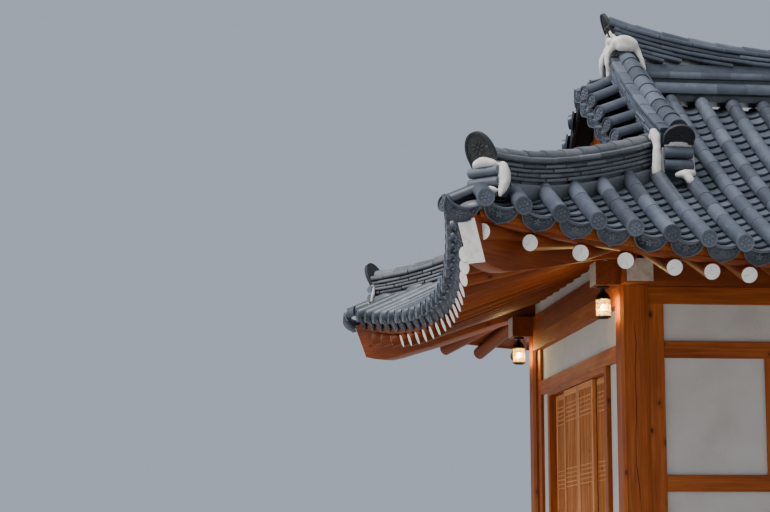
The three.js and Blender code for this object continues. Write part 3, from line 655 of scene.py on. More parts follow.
class Bench:
    """Modelling steps on one new object, by operator."""

    def __init__(self, primitive: Callable, **settings: object) -> None:
        """Adds a primitive and keeps it alone and active.

        Args:
            primitive: the operator that adds it.
            settings: the operator's settings.
        """
        bpy.ops.object.select_all(action="DESELECT")
        primitive(**settings)
        bpy.ops.object.transform_apply(location=True, rotation=True, scale=True)
        self.mesh = bpy.context.active_object.data

    def size(self, x: float, y: float, z: float) -> "Bench":
        """Resizes all of it about the origin.

        Args:
            x: size along X, as a share.
            y: size along Y.
            z: size along Z.

        Returns:
            The bench.
        """
        bpy.ops.object.mode_set(mode="EDIT")
        bpy.ops.mesh.select_all(action="SELECT")
        bpy.ops.transform.resize(value=(x, y, z), center_override=(0, 0, 0))
        return self

    def pick(self, test: Callable[[Vector], bool], edges: bool = False) -> "Bench":
        """Selects the faces, or edges, whose middle passes a test.

        Args:
            test: takes the middle of a face and its normal, or the middle of an
                edge and its direction.
            edges: picks edges.

        Returns:
            The bench.
        """
        bpy.ops.object.mode_set(mode="OBJECT")
        mesh = self.mesh
        mesh.vertices.foreach_set("select", [False] * len(mesh.vertices))
        mesh.edges.foreach_set("select", [False] * len(mesh.edges))
        mesh.polygons.foreach_set("select", [False] * len(mesh.polygons))
        for part in mesh.edges if edges else mesh.polygons:
            if edges:
                first, last = (mesh.vertices[i].co for i in part.vertices)
                part.select = test((first + last) / 2, (last - first).normalized())
            else:
                part.select = test(part.center, part.normal)
        bpy.ops.object.mode_set(mode="EDIT")
        bpy.ops.mesh.select_mode(type="EDGE" if edges else "FACE")
        return self

    def all(self) -> "Bench":
        """Selects everything in edit mode.

        Returns:
            The bench.
        """
        bpy.ops.object.mode_set(mode="EDIT")
        bpy.ops.mesh.select_all(action="SELECT")
        return self

    def do(self, operator: Callable, **settings: object) -> "Bench":
        """Runs an edit operator on the selection."""
        operator(**settings)
        return self

    def cut(self, place: Sequence[float], normal: Sequence[float], **settings: bool) -> "Bench":
        """Cuts all of it with a plane."""
        return self.all().do(bpy.ops.mesh.bisect, plane_co=place, plane_no=normal, **settings)

    def inset(self, thickness: float) -> "Bench":
        """Insets the selected faces."""
        return self.do(bpy.ops.mesh.inset, thickness=thickness)

    def outward(self) -> "Bench":
        """Turns all faces outwards."""
        return self.all().do(bpy.ops.mesh.normals_make_consistent, inside=False)

    def extrude(self, x: float, y: float, z: float) -> "Bench":
        """Extrudes the selected faces."""
        bpy.ops.mesh.extrude_region_move(TRANSFORM_OT_translate={"value": (x, y, z)})
        return self

    def modify(self, kind: str, **settings: object) -> "Bench":
        """Adds a modifier and applies it.

        Args:
            kind: the modifier's type.
            settings: its settings.

        Returns:
            The bench.
        """
        bpy.ops.object.mode_set(mode="OBJECT")
        owner = bpy.context.active_object
        modifier = owner.modifiers.new(kind, kind)
        for key, value in settings.items():
            setattr(modifier, key, value)
        bpy.ops.object.modifier_apply(modifier=modifier.name)
        self.mesh = owner.data
        return self

    def stock(self) -> Stock:
        """Ends the work: the piece as arrays, its object removed."""
        bpy.ops.object.mode_set(mode="OBJECT")
        return taken()


UP = Vector((0, 0, 1))
BACK = Vector((0, 1, 0))
# stands a piece drawn flat in XY upright, its face towards -X
STAND = Matrix(((0, 0, -1, 0), (-1, 0, 0, 0), (0, 1, 0, 0), (0, 0, 0, 1)))
# lays a piece drawn flat in XY so that its depth runs along X
LAID = Matrix(((0, 0, 1, 0), (1, 0, 0, 0), (0, 1, 0, 0), (0, 0, 0, 1)))
# how far the round ends lean out below, in radians
LEAN = 0.38
# how far a cover tile's edges lie below its axis, as a share of its radius
COVER_FOOT = 0.35


def sheet(outline: Sequence[tuple[float, float]], lift: float = 0.0) -> Bench:
    """A flat face.

    Args:
        outline: its corners in XY, in turn.
        lift: its height.

    Returns:
        The bench with the face on it.
    """
    bench = Bench(bpy.ops.mesh.primitive_circle_add, vertices=len(outline), fill_type="NGON")
    for vertex, (x, y) in zip(bench.mesh.vertices, outline):
        vertex.co = (x, y, lift)
    return bench


def plate(
    outline: Sequence[tuple[float, float]], depth: float, edge: float = 0.0, segments: int = 1
) -> Stock:
    """A flat piece with eased edges.

    Args:
        outline: its corners in XY, in turn.
        depth: its thickness, from z = 0 upwards.
        edge: width of the easing.
        segments: steps of the easing.

    Returns:
        The piece.
    """
    bench = sheet(outline).all().extrude(0, 0, depth).outward()
    if edge:
        bench.modify(
            "BEVEL", width=edge, segments=segments, limit_method="ANGLE", angle_limit=math.radians(50)
        )
    return bench.stock()


def turned(profile: Sequence[tuple[float, float]]) -> Stock:
    """A turned piece about Z.

    Args:
        profile: radius and height, from one end to the other.

    Returns:
        The piece.
    """
    radius, low = profile[0]
    bench = Bench(bpy.ops.mesh.primitive_circle_add, vertices=24, radius=radius, fill_type="NGON",
                  location=(0, 0, low)).all()
    for (last, below), (radius, height) in zip(profile, profile[1:]):
        bench.extrude(0, 0, height - below)
        bpy.ops.transform.resize(value=(radius / last, radius / last, 1), center_override=(0, 0, height))
    return bench.outward().stock()


def bar(
    radius: float, sides: int, low: float = 0.0, high: float = 1.0, lift: float = 0.0, **settings: str
) -> Bench:
    """A round bar along X from low to high."""
    return Bench(bpy.ops.mesh.primitive_cylinder_add, vertices=sides, radius=radius, depth=high - low,
                 rotation=(0, math.pi / 2, 0), location=((low + high) / 2, 0, lift), **settings)


def ball(segments: int, rings: int, radius: float = 1.0) -> Stock:
    """A ball about the origin."""
    return Bench(
        bpy.ops.mesh.primitive_uv_sphere_add, segments=segments, ring_count=rings, radius=radius
    ).stock()


def beam_stock(width: float, height: float, chamfer: float) -> Stock:
    """A beam along X from 0 to 1.

    Args:
        width: its size in Y.
        height: its size in Z.
        chamfer: width of the chamfers on its four long edges.

    Returns:
        The piece.
    """
    bench = Bench(bpy.ops.mesh.primitive_cube_add, size=1, location=(0.5, 0, 0)).size(1, width, height)
    if chamfer:
        bench.pick(lambda middle, along: abs(along.x) > 0.9, edges=True)
        bench.do(bpy.ops.mesh.bevel, offset=chamfer, segments=1, profile=0.5)
    return bench.stock()


def rod_stock(radius: float, sides: int, eased: float = 0.0) -> Stock:
    """A round bar along X from 0 to 1, its low end eased.

    Args:
        radius: its radius.
        sides: number of its sides.
        eased: width of the easing at its low end.

    Returns:
        The piece.
    """
    bench = bar(radius, sides)
    if eased:
        bench.pick(lambda middle, normal: normal.x < -0.9).inset(eased)
    return bench.stock()


def cover_stock(radius: float, sides: int, taper: float) -> Stock:
    """A half-round cover tile along X from 0 to 1.

    Args:
        radius: its radius at the lower end.
        sides: sides of the whole round.
        taper: its size at the upper end, as a share.

    Returns:
        The piece.
    """
    bench = bar(radius, sides).cut((0, 0, -COVER_FOOT * radius), (0, 0, 1), use_fill=True, clear_inner=True)
    bench.pick(lambda middle, normal: normal.x > 0.9)
    return bench.do(bpy.ops.transform.resize, value=(1, taper, taper), center_override=(1, 0, 0)).stock()


def lip_stock(radius: float, length: float) -> Stock:
    """The lowest cover tile of a row, along X from 0, its end cut for the leaning disc.

    Args:
        radius: its radius.
        length: its length.

    Returns:
        The piece.
    """
    bench = bar(radius, 18, -0.06, length)
    bench.cut((0, 0, -COVER_FOOT * radius), (0, 0, 1), use_fill=True, clear_inner=True)
    bench.cut((0, 0, radius), (math.cos(LEAN), 0, -math.sin(LEAN)), use_fill=True, clear_inner=True)
    return bench.stock()


def pan_stock(width: float, hollow: float, thick: float = 0.014) -> Stock:
    """A hollow pan tile along X from 0 to 1, its lowest line on the X axis.

    Args:
        width: its width.
        hollow: its depth.
        thick: thickness of its wall.

    Returns:
        The piece.
    """
    radius = (width * width / 4 + hollow * hollow) / (2 * hollow)
    bench = bar(radius, 30, lift=radius, end_fill_type="NOTHING")
    bench.cut((0, 0, hollow), (0, 0, 1), clear_outer=True)
    bench.all().do(bpy.ops.mesh.flip_normals)
    return bench.modify("SOLIDIFY", thickness=thick, offset=-1.0).stock()


def ring(piece: Stock, count: int, place: Matrix, axis: str, out: Matrix) -> list[Stock]:
    """Copies of a piece round the axis of a place, each moved out."""
    return [piece.moved(place @ rotate(math.tau * i / count, axis) @ out) for i in range(count)]


def scrolls(petal: Stock, lift: float, marks: Iterable[Sequence[float]]) -> list[Stock]:
    """Drops of relief on both halves of a face.

    Args:
        petal: one drop, of radius 1.
        lift: height of the face.
        marks: distance from the middle, height, turn and, where it has them, three
            radii of each drop.

    Returns:
        All drops.
    """
    return [petal.scaled(*size).moved(move(hand * y, z, lift) @ rotate(hand * angle, "Z"))
            for hand in (-1, 1) for y, z, angle, *size in marks]


def icing(balls: Sequence[tuple[float, float, float, float]], fine: float = 0.011) -> Stock:
    """Trowelled lime as one soft body.

    Args:
        balls: place and radius of each ball that it is drawn together from.
        fine: size of its facets.

    Returns:
        The body, its skin slightly uneven.
    """
    bpy.ops.object.select_all(action="DESELECT")
    bpy.ops.object.metaball_add(type="BALL", radius=1)
    data = bpy.context.active_object.data
    data.elements.remove(data.elements[0])
    data.resolution = data.render_resolution = fine
    for x, y, z, radius in balls:
        drop = data.elements.new(type="BALL")
        drop.co, drop.radius = (x, y, z), radius / 0.76
    bpy.ops.object.convert(target="MESH")
    bpy.ops.object.mode_set(mode="EDIT")
    bpy.ops.mesh.select_all(action="SELECT")
    bpy.ops.mesh.vertices_smooth(repeat=2, factor=0.5)
    bpy.ops.mesh.vertices_smooth(repeat=1, factor=0.3)
    bpy.ops.object.mode_set(mode="OBJECT")
    body = taken()
    x, y, z = body.points.T
    swell = np.sin(31 * x + 17 * z) * np.sin(27 * y - 11 * z + 1.3)
    swell += 0.6 * np.sin(63 * z + 21 * y) * np.sin(58 * x - 9)
    middle = body.points.mean(axis=0)
    ray = body.points - middle
    body.points += 0.0042 * swell[:, None] * ray / np.linalg.norm(ray, axis=1)[:, None]
    return body


def smear(points: Sequence[Sequence[float]], step: float = 0.35) -> list[tuple[float, float, float, float]]:
    """Balls along a bent line of places and radii, close enough to run together.

    Args:
        points: places and radii.
        step: distance between balls, as a share of the smaller radius.

    Returns:
        The balls.
    """
    balls = []
    for first, last in zip(points, points[1:]):
        first, last = np.array(first), np.array(last)
        count = max(1, math.ceil(float(np.linalg.norm((last - first)[:3])) / (step * min(first[3], last[3]))))
        balls += [tuple(first + (last - first) * i / count) for i in range(count)]
    return [*balls, tuple(points[-1])]


class Batch:
    """Copies of modelled pieces, gathered for one object."""

    def __init__(self, seed: int = 1) -> None:
        """Starts empty, with its own fixed run of random numbers.

        Args:
            seed: start of the random numbers.
        """
        self.random = random.Random(seed)
        self.parts: list[Stock] = []
        self.local: list[np.ndarray] = []
        self.tone: list[np.ndarray] = []

    def add(
        self, piece: Stock, place: Matrix | None = None, shift: bool = True, pattern: np.ndarray | None = None
    ) -> None:
        """Adds a copy.

        Args:
            piece: the piece, at its own size.
            place: where it goes.
            shift: starts its pattern at a random place of the material.
            pattern: the material's coordinates, where they aren't the piece's points.
        """
        start = [self.random.uniform(-9, 9) for _ in range(3)] if shift else [0.0, 0.0, 0.0]
        self.local.append((piece.points if pattern is None else pattern) + np.array(start))
        self.tone.append(np.full(len(piece.points), self.random.random()))
        self.parts.append(piece.moved(place) if place else piece)

    def extend(self, other: "Batch", place: Matrix) -> "Batch":
        """Adds all of another batch, moved, turned or mirrored, and returns this one.

        Args:
            other: the other batch.
            place: where it goes.

        Returns:
            This batch.
        """
        flip = place.to_3x3().determinant() < 0
        for part, local, tone in zip(other.parts, other.local, other.tone):
            piece = part.moved(place)
            if flip:
                piece = Stock(piece.points, flipped(piece.loops, piece.sizes), piece.sizes)
            self.parts.append(piece)
            self.local.append(local)
            self.tone.append(tone)
        return self

    def moved(self, place: Matrix) -> "Batch":
        """All of it again, at another place."""
        return Batch().extend(self, place)

    def build(
        self, name: str, finish: Finish, slot: str, nodes: Sequence[str], body: str = HOUSE,
        angle: float = 38.0,
    ) -> None:
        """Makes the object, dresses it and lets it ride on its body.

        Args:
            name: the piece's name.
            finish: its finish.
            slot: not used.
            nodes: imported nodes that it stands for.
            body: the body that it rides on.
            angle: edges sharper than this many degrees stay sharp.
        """
        whole = gathered(self.parts)
        mesh = bpy.data.meshes.new(name)
        mesh.vertices.add(len(whole.points))
        mesh.vertices.foreach_set("co", whole.points.ravel())
        mesh.loops.add(len(whole.loops))
        mesh.loops.foreach_set("vertex_index", whole.loops)
        mesh.polygons.add(len(whole.sizes))
        mesh.polygons.foreach_set("loop_start", np.concatenate(([0], np.cumsum(whole.sizes)[:-1])))
        mesh.update(calc_edges=True)
        local = mesh.attributes.new("local", "FLOAT_VECTOR", "POINT")
        local.data.foreach_set("vector", np.concatenate(self.local).ravel())
        tone = mesh.attributes.new("tone", "FLOAT", "POINT")
        tone.data.foreach_set("value", np.concatenate(self.tone))
        made = bpy.data.objects.new(name, mesh)
        bpy.context.collection.objects.link(made)
        bpy.ops.object.select_all(action="DESELECT")
        made.select_set(True)
        bpy.context.view_layer.objects.active = made
        bpy.ops.object.shade_smooth_by_angle(angle=math.radians(angle))
        mesh.materials.append(finish.build())
        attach(made, body)
        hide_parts(*nodes)
        log.info("%s: %d faces", name, len(whole.sizes))


def flipped(loops: np.ndarray, sizes: np.ndarray) -> np.ndarray:
    """Face loops in the other order, so that mirrored faces point outwards again.

    Args:
        loops: vertex numbers of all faces in turn.
        sizes: number of vertices of each face.

    Returns:
        The vertex numbers in their new order.
    """
    ends = np.cumsum(sizes)
    starts = ends - sizes
    order = np.repeat(starts + ends - 1, sizes) - np.arange(len(loops))
    return loops[order]


def on(start: Vector, end: Vector, up: Vector = UP) -> Matrix:
    """Place of a piece drawn along X: its origin at start, X towards end, Z near up.

    Args:
        start: where its origin goes.
        end: a point that its X points to.
        up: a direction near its Z.

    Returns:
        The place.
    """
    x = (end - start).normalized()
    y = up.cross(x).normalized()
    return axes(x, y, x.cross(y), start)


def axes(x: Vector, y: Vector, z: Vector, place: Sequence[float]) -> Matrix:
    """A place by its three directions and its origin.

    Args:
        x: its X direction.
        y: its Y direction.
        z: its Z direction.
        place: its origin.

    Returns:
        The place.
    """
    turn = Matrix((x, y, z)).transposed().to_4x4()
    turn.translation = place
    return turn


def mirror(hands: tuple[int, int]) -> Matrix:
    """Mirror of the front left corner into another corner."""
    return Matrix.Diagonal((hands[0], hands[1], 1, 1))


def move(x: float, y: float, z: float) -> Matrix:
    """A move."""
    return Matrix.Translation((x, y, z))


def rotate(angle: float, axis: str) -> Matrix:
    """A turn in radians about an axis."""
    return Matrix.Rotation(angle, 4, axis)


class Joinery(Batch):
    """Sawn timber with chamfered edges, its grain along each piece."""

    shapes: dict[tuple[float, ...], Stock] = {}

    def beam(
        self, start: Vector, end: Vector, width: float, height: float, chamfer: float = 0.006, up: Vector = UP
    ) -> None:
        """A beam between the middles of its two ends.

        Args:
            start: middle of its first end.
            end: middle of its second end.
            width: its width.
            height: its height.
            chamfer: width of its chamfers.
            up: the direction of its height.
        """
        key = (round(width, 4), round(height, 4), chamfer)
        if key not in Joinery.shapes:
            Joinery.shapes[key] = beam_stock(*key)
        self.add(Joinery.shapes[key].scaled(x=(end - start).length), on(start, end, up))

    def box(self, low: Sequence[float], high: Sequence[float], chamfer: float = 0.006) -> None:
        """A beam that fills a box, its grain along the longest side.

        Args:
            low: lowest corner of the box.
            high: highest corner of the box.
            chamfer: width of its chamfers.
        """
        low, high = Vector(low), Vector(high)
        size = high - low
        long = max(range(3), key=lambda i: size[i])
        start, end = (low + high) / 2, (low + high) / 2
        start[long], end[long] = low[long], high[long]
        if long == 2:
            self.beam(start, end, size.x, size.y, chamfer, up=BACK)
        else:
            self.beam(start, end, size.x if long else size.y, size.z, chamfer)

    def frame(
        self, low: Sequence[float], high: Sequence[float], sizes: Sequence[float], chamfers: Sequence[float]
    ) -> None:
        """A frame that faces -Y: two posts, then two rails between them.

        Args:
            low: its lowest corner.
            high: its highest corner.
            sizes: widths of a post, of the lower rail and of the upper rail.
            chamfers: chamfers of the posts and of the rails.
        """
        (x0, y0, z0), (x1, y1, z1), (post, sill, head) = low, high, sizes
        for left, right in ((x0, x0 + post), (x1 - post, x1)):
            self.box((left, y0, z0), (right, y1, z1), chamfers[0])
        for under, over in ((z0, z0 + sill), (z1 - head, z1)):
            self.box((x0 + post, y0, under), (x1 - post, y1, over), chamfers[1])


class Path:
    """A line of points that can be walked by its length."""

    def __init__(self, points: Sequence[Vector]) -> None:
        """Measures the line.

        Args:
            points: the points of the line.
        """
        self.points = list(points)
        steps = [(b - a).length for a, b in zip(self.points, self.points[1:])]
        self.marks = np.concatenate(([0.0], np.cumsum(steps)))
        self.length = float(self.marks[-1])

    def at(self, distance: float) -> Vector:
        """Point at a distance from the start."""
        return Vector([
            float(np.interp(distance, self.marks, [point[i] for point in self.points])) for i in range(3)
        ])

    def steps(self, piece: float, first: float = 1.0) -> list[tuple[float, float]]:
        """Cuts the line into pieces of one length, the first shortened to a share.

        Args:
            piece: length of a piece.
            first: share of the first piece.

        Returns:
            Start and end of each piece.
        """
        places = [0.0]
        step = self.length / max(1, round(self.length / piece))
        mark = step * first
        while mark < self.length - 0.3 * step:
            places.append(mark)
            mark += step
        return list(zip(places, places[1:] + [self.length]))


def course(
    batch: Batch, piece: Stock, path: Path, rise: float, length: float, first: float = 1.0,
    aside: float = 0.0, stretch: float = 1.0, tilt: float = 0.0, sway: float = 0.0
) -> None:
    """Lays a course of pieces drawn along X end to end on a path.

    Args:
        batch: takes the pieces.
        piece: one piece, from 0 to 1 along X.
        path: the line that they follow.
        rise: height of the course over the path.
        length: length of a piece.
        first: share of the first piece, so that joints are staggered.
        aside: distance to the left of the path.
        stretch: share of the step that a piece covers.
        tilt: height of a piece's start over its end.
        sway: how far pieces stray to the sides.
    """
    for start, end in path.steps(length, first):
        low, high = path.at(start), path.at(end)
        place = on(low, high)
        shift = place.to_3x3() @ Vector((0, aside + batch.random.uniform(-sway, sway), rise))
        jolt = Vector((0, 0, batch.random.uniform(-0.0015, 0.0015)))
        place = on(low + shift + jolt + Vector((0, 0, tilt)), high + shift + jolt)
        batch.add(piece.scaled(x=(high - low).length * stretch), place)


# Roof tiles


@dataclass
class TiledSlope:
    """Rows of cover tiles over pan tiles on one side of the roof."""

    side: Side
    cover_radius: float = 0.069
    cover_length: float = 0.30
    pan_step: float = 0.158
    pan_lift: float = 0.021
    pan_width: float = 0.27
    pan_hollow: float = 0.056
    pan_drop: float = 0.092
    outer_sunk: float = 0.065
    stray: float = 0.002
    start: float = 0.03
    under_ridge: float = 3.27
    under_gable: float = 1.68
    beside_hip: float = 0.06
    seed: int = 3

    def last(self, x: float) -> float:
        """Where the row at x ends, measured in from the straight eave line.

        Args:
            x: distance from the middle of the side.

        Returns:
            The distance.
        """
        hip = self.side.half + ROOF.eave_out - abs(x) - self.beside_hip
        if self.side.is_long:
            return self.under_ridge if abs(x) < ROOF.gable_x else hip
        return min(hip, self.under_gable)

    def first(self, x: float) -> float:
        """Where the row at x starts."""
        return self.start - ROOF.flare(self.side.inward(x))

    def surface(self, x: float, t: float) -> Vector:
        """Point on the mean tile surface, drawn facing -Y."""
        z = ROOF.tile_top(t, self.side.inward(x))
        return Vector((x, self.side.out(t), z))

    def normal(self, x: float, t: float) -> Vector:
        """Normal of the mean tile surface.

        Args:
            x: distance from the middle of the side.
            t: distance in from the eave.

        Returns:
            The direction.
        """
        along = self.surface(x, t + 0.02) - self.surface(x, t - 0.02)
        across = self.surface(x + 0.01, t) - self.surface(x - 0.01, t)
        return across.cross(along).normalized()

    def stations(self, x: float, step: float, last: float) -> list[float]:
        """Starts of the tiles of a row, a step apart along the slope.

        Args:
            x: distance from the middle of the side.
            step: length of a tile.
            last: where the row ends.

        Returns:
            The starts, and the end of the last tile.
        """
        t = self.first(x)
        places = [t]
        while t < last:
            t += step / math.hypot(1, ROOF.tile_slope + 2 * ROOF.tile_hollow * t)
            places.append(min(t, last))
        if len(places) > 2 and places[-1] - places[-2] < 0.25 * step:
            places.pop(-2)
        return places

    def covers(self) -> Batch:
        """All cover tiles of the side.

        Returns:
            The tiles.
        """
        batch = Batch(self.seed)
        tile = cover_stock(self.cover_radius, 18, 0.965)
        lip = lip_stock(self.cover_radius, self.cover_length)
        sink = self.cover_radius - ROOF.tile_half
        for x in self.side.rows:
            if self.last(x) - self.first(x) < 0.1:
                continue
            for k, (low, high) in enumerate(self.pairs(self.stations(x, self.cover_length, self.last(x)))):
                up = self.normal(x, low)
                stray = [batch.random.uniform(-self.stray, self.stray) for _ in range(2)]
                wander = Vector((stray[0], 0, stray[1]))
                start, end = self.surface(x, low) - up * sink + wander, self.surface(x, high) - up * sink
                long = (end - start).length * 1.01
                batch.add(
                    tile.scaled(x=long) if k else lip.scaled(x=long / self.cover_length), on(start, end, up)
                )
                if not k and self.is_outermost(x):
                    batch.add(lip.scaled(x=0.09 / self.cover_length), on(start, end, up) @ self.swing(x))
        return batch

    def is_outermost(self, x: float) -> bool:
        """True for the last rows of a short side."""
        return not self.side.is_long and abs(x) > self.side.rows[-1] - 0.01

    @staticmethod
    def swing(x: float) -> Matrix:
        """Turn of the outermost disc of a short side towards the corner."""
        return move(-0.02, -math.copysign(0.012, x), 0) @ rotate(math.copysign(0.75, x), "Z")

    @staticmethod
    def pairs(places: Sequence[float]) -> list[tuple[float, float]]:
        """Each place with the next."""
        return list(zip(places, places[1:]))

    def gaps(self) -> list[float]:
        """Middles between the rows, with one more beyond each last row.

        Returns:
            The distances from the middle of the side.
        """
        rows = self.side.rows
        half = ROOF.pitch / 2
        return [rows[0] - half] + [x + half for x in rows]

    def pans(self) -> Batch:
        """All pan tiles of the side.

        Returns:
            The tiles.
        """
        batch = Batch(self.seed + 1)
        tile = pan_stock(self.pan_width, self.pan_hollow)
        for x in self.gaps():
            last = self.last(x) + (0.02 if self.side.is_long else -0.04)
            sunk = self.outer_sunk if self.side.is_long and x in (self.gaps()[0], self.gaps()[-1]) else 0.0
            if last - self.first(x) < 0.12 and not sunk:
                continue
            places = [self.first(x), self.first(x) + 0.11] if sunk else self.stations(x, self.pan_step, last)
            places[0] += 0.012
            for low, high in self.pairs(places):
                up = self.normal(x, low)
                drop = sunk + self.pan_drop - self.pan_lift + batch.random.uniform(-self.stray, self.stray)
                start = self.surface(x, low) - up * drop
                end = self.surface(x, high) - up * (sunk + self.pan_drop + 0.004)
                batch.add(
                    tile.scaled(x=(end - start).length * (1.4 if high < last else 1.0)), on(start, end, up)
                )
        return batch

    def eave_ends(self, disc: Stock, leaf: Stock) -> Batch:
        """Round end discs of the cover rows and drooping ends of the pan rows.

        Args:
            disc: the round end.
            leaf: the drooping end.

        Returns:
            The ends.
        """
        batch = Batch(self.seed + 2)
        for x in self.side.rows:
            start, ahead, up = self.lip(x)
            place = on(start - up * (self.cover_radius - ROOF.tile_half), ahead, up)
            batch.add(disc, place @ self.swing(x) if self.is_outermost(x) else place)
        gaps = self.gaps()
        for x in gaps if self.side.is_long else gaps[1:-1]:
            start, ahead, up = self.lip(x)
            if x in (gaps[0], gaps[-1]):
                start, ahead = start - up * self.outer_sunk, ahead - up * self.outer_sunk
            batch.add(leaf, on(start - up * (self.pan_drop - self.pan_lift), ahead, up))
        return batch

    def lip(self, x: float) -> tuple[Vector, Vector, Vector]:
        """Start of a row on the mean surface, a point further up it, and the normal.

        Args:
            x: distance from the middle of the side.

        Returns:
            The two points and the direction.
        """
        t = self.first(x)
        up = self.normal(x, t)
        start = self.surface(x, t)
        return start, start + self.surface(x, t + 0.1) - self.surface(x, t), up


def disc_stock(radius: float = 0.071) -> Stock:
    """A round end tile facing -X, with a raised rim, a ring of petals and a boss.

    Args:
        radius: its radius.

    Returns:
        The piece.
    """
    bench = bar(radius, 24, -0.012, 0.012)
    bench.pick(lambda middle, normal: normal.x < -0.9).inset(0.003).extrude(-0.003, 0, 0)
    face = bench.inset(0.009).extrude(0.009, 0, 0).stock()
    petal = ball(8, 5)
    boss = petal.scaled(0.008, 0.012, 0.012).moved(move(-0.007, 0, 0))
    flower = ring(petal.scaled(0.007, 0.0125, 0.016), 6, Matrix.Identity(4), "X", move(-0.0065, 0, 0.031))
    seat = move(-radius * math.sin(LEAN), 0, 0.069 - radius * math.cos(LEAN))
    return gathered([face, boss, *flower]).moved(seat @ rotate(LEAN, "Y"))


def leaf_stock(width: float = 0.285, hollow: float = 0.056, drop: float = 0.150) -> Stock:
    """A drooping pan end facing -X: pointed below, with a rim, a flower and tendrils.

    Args:
        width: its width.
        hollow: depth of the pan above it.
        drop: how far its point hangs.

    Returns:
        The piece.
    """
    half = width / 2

    def arc(y: float) -> float:
        """Top edge, which follows the pan."""
        return hollow * (y / half) ** 2 - 0.004

    top = [(half - width * i / 10, arc(half - width * i / 10)) for i in range(11)]
    shape = [
        (-0.985, 0.014), (-0.95, -0.028), (-0.87, -0.062), (-0.73, -0.091), (-0.55, -0.112), (-0.35, -0.125),
        (-0.13, -0.135), (0.0, -drop),
    ]
    left = [(y * half, z) for y, z in shape]
    right = [(-y, z) for y, z in reversed(left[:-1])]
    outline = top + left + right
    thick = 0.014
    bench = sheet(outline, thick).all().extrude(0, 0, 0.004).inset(0.007).extrude(0, 0, -0.004)
    rim = bench.outward().stock()
    petal = ball(8, 5)
    boss = petal.scaled(0.009, 0.009, 0.006).moved(move(0, -0.062, 0.016))
    flower = ring(petal.scaled(0.009, 0.0125, 0.005), 5, move(0, -0.062, 0.015), "Z", move(0, 0.019, 0))
    tendrils = scrolls(petal, 0.0145, (
        (0.05, -0.048, 0.5, 0.013, 0.006, 0.005), (0.072, -0.032, -0.6, 0.011, 0.005, 0.005),
        (0.086, -0.048, 0.8, 0.012, 0.005, 0.005), (0.103, -0.018, 0.9, 0.011, 0.005, 0.005),
        (0.052, -0.075, -0.2, 0.012, 0.005, 0.005),
    ))
    whole = gathered([plate(outline, thick), rim, boss, *flower, *tendrils])
    return whole.moved(move(0.032, 0, -0.006) @ rotate(math.radians(28), "Y") @ STAND)


def plaque_stock(width: float = 0.27, height: float = 0.27, depth: float = 0.04) -> Stock:
    """An arched ridge end standing on z = 0 and facing -X, with a rim and scroll relief.

    Args:
        width: its width.
        height: its height.
        depth: its thickness.

    Returns:
        The piece.
    """
    half = width / 2
    arch = [(half * math.cos(a), 0.09 + (height - 0.09) * math.sin(a)) for a in np.linspace(0, math.pi, 17)]
    outline = [(-half * 0.96, 0.0), (half * 0.96, 0.0)] + arch
    body = sheet(outline).all().extrude(0, 0, depth).inset(0.016).extrude(0, 0, -0.008).outward().stock()
    petal = ball(8, 5)
    face = depth - 0.008
    middle = move(0, 0.135, face)
    boss = petal.scaled(0.016, 0.016, 0.01).moved(middle)
    flower = ring(petal.scaled(0.012, 0.024, 0.008), 8, middle, "Z", move(0, 0.042, 0))
    curls = ((0.085, 0.055, 0.7), (0.05, 0.04, -0.5), (0.088, 0.19, -0.6), (0.1, 0.12, 0.1))
    return gathered([
        body, boss, *flower, *scrolls(petal.scaled(0.009, 0.024, 0.006), face, curls)
    ]).moved(STAND)


@dataclass
class Bed:
    """The clay bed under the tiles of a side, from the boarding up to the pans."""

    side: Side
    front: float = -0.22
    short: float = 0.002
    below_tiles: float = 0.125
    over_rafters: float = 0.0985
    bend_in: float = 1.45
    inner_slope: float = 0.62
    least: float = 0.01

    def place(self, points: np.ndarray) -> np.ndarray:
        """Bends a grid onto the roof, its outer rows along the flared eave.

        Args:
            points: points of the grid, in -1..1 and one high.

        Returns:
            Points of the bed.
        """
        side, hip = self.side, PLAN.half_x + ROOF.eave_out - ROOF.gable_x
        last = PLAN.half_y + ROOF.eave_out - self.short if side.is_long else hip
        for row in points:
            t = self.front + (last - self.front) * (row[1] + 1) / 2
            narrowed = min(t, hip) if side.is_long else t
            x = row[0] * (side.half + ROOF.eave_out - narrowed - self.short)
            blend = max(0.0, 1 - (t + ROOF.flare_out) / (ROOF.flare_out + ROOF.eave_out + PLAN.column / 2))
            t += (ROOF.flare_out - ROOF.flare(side.corner * (1 - abs(row[0])))) * blend
            top = ROOF.tile_top(t, side.inward(x)) - self.below_tiles
            s = t - ROOF.to_tile
            bend = min(s, self.bend_in)
            under = ROOF.rafter_axis(bend, side.inward(x)) + self.over_rafters + self.inner_slope * (s - bend)
            row[:] = (x, side.out(t), top if row[2] > 0.5 else min(under, top - self.least))
        return points

    def batch(self) -> Batch:
        """The bed as one piece.

        Returns:
            The bed.
        """
        bench = Bench(bpy.ops.mesh.primitive_grid_add, x_subdivisions=36, y_subdivisions=10, size=2)
        grid = bench.all().extrude(0, 0, 1).outward().stock()
        made = Batch(5)
        made.add(grid.bent(self.place))
        return made


# Ridges


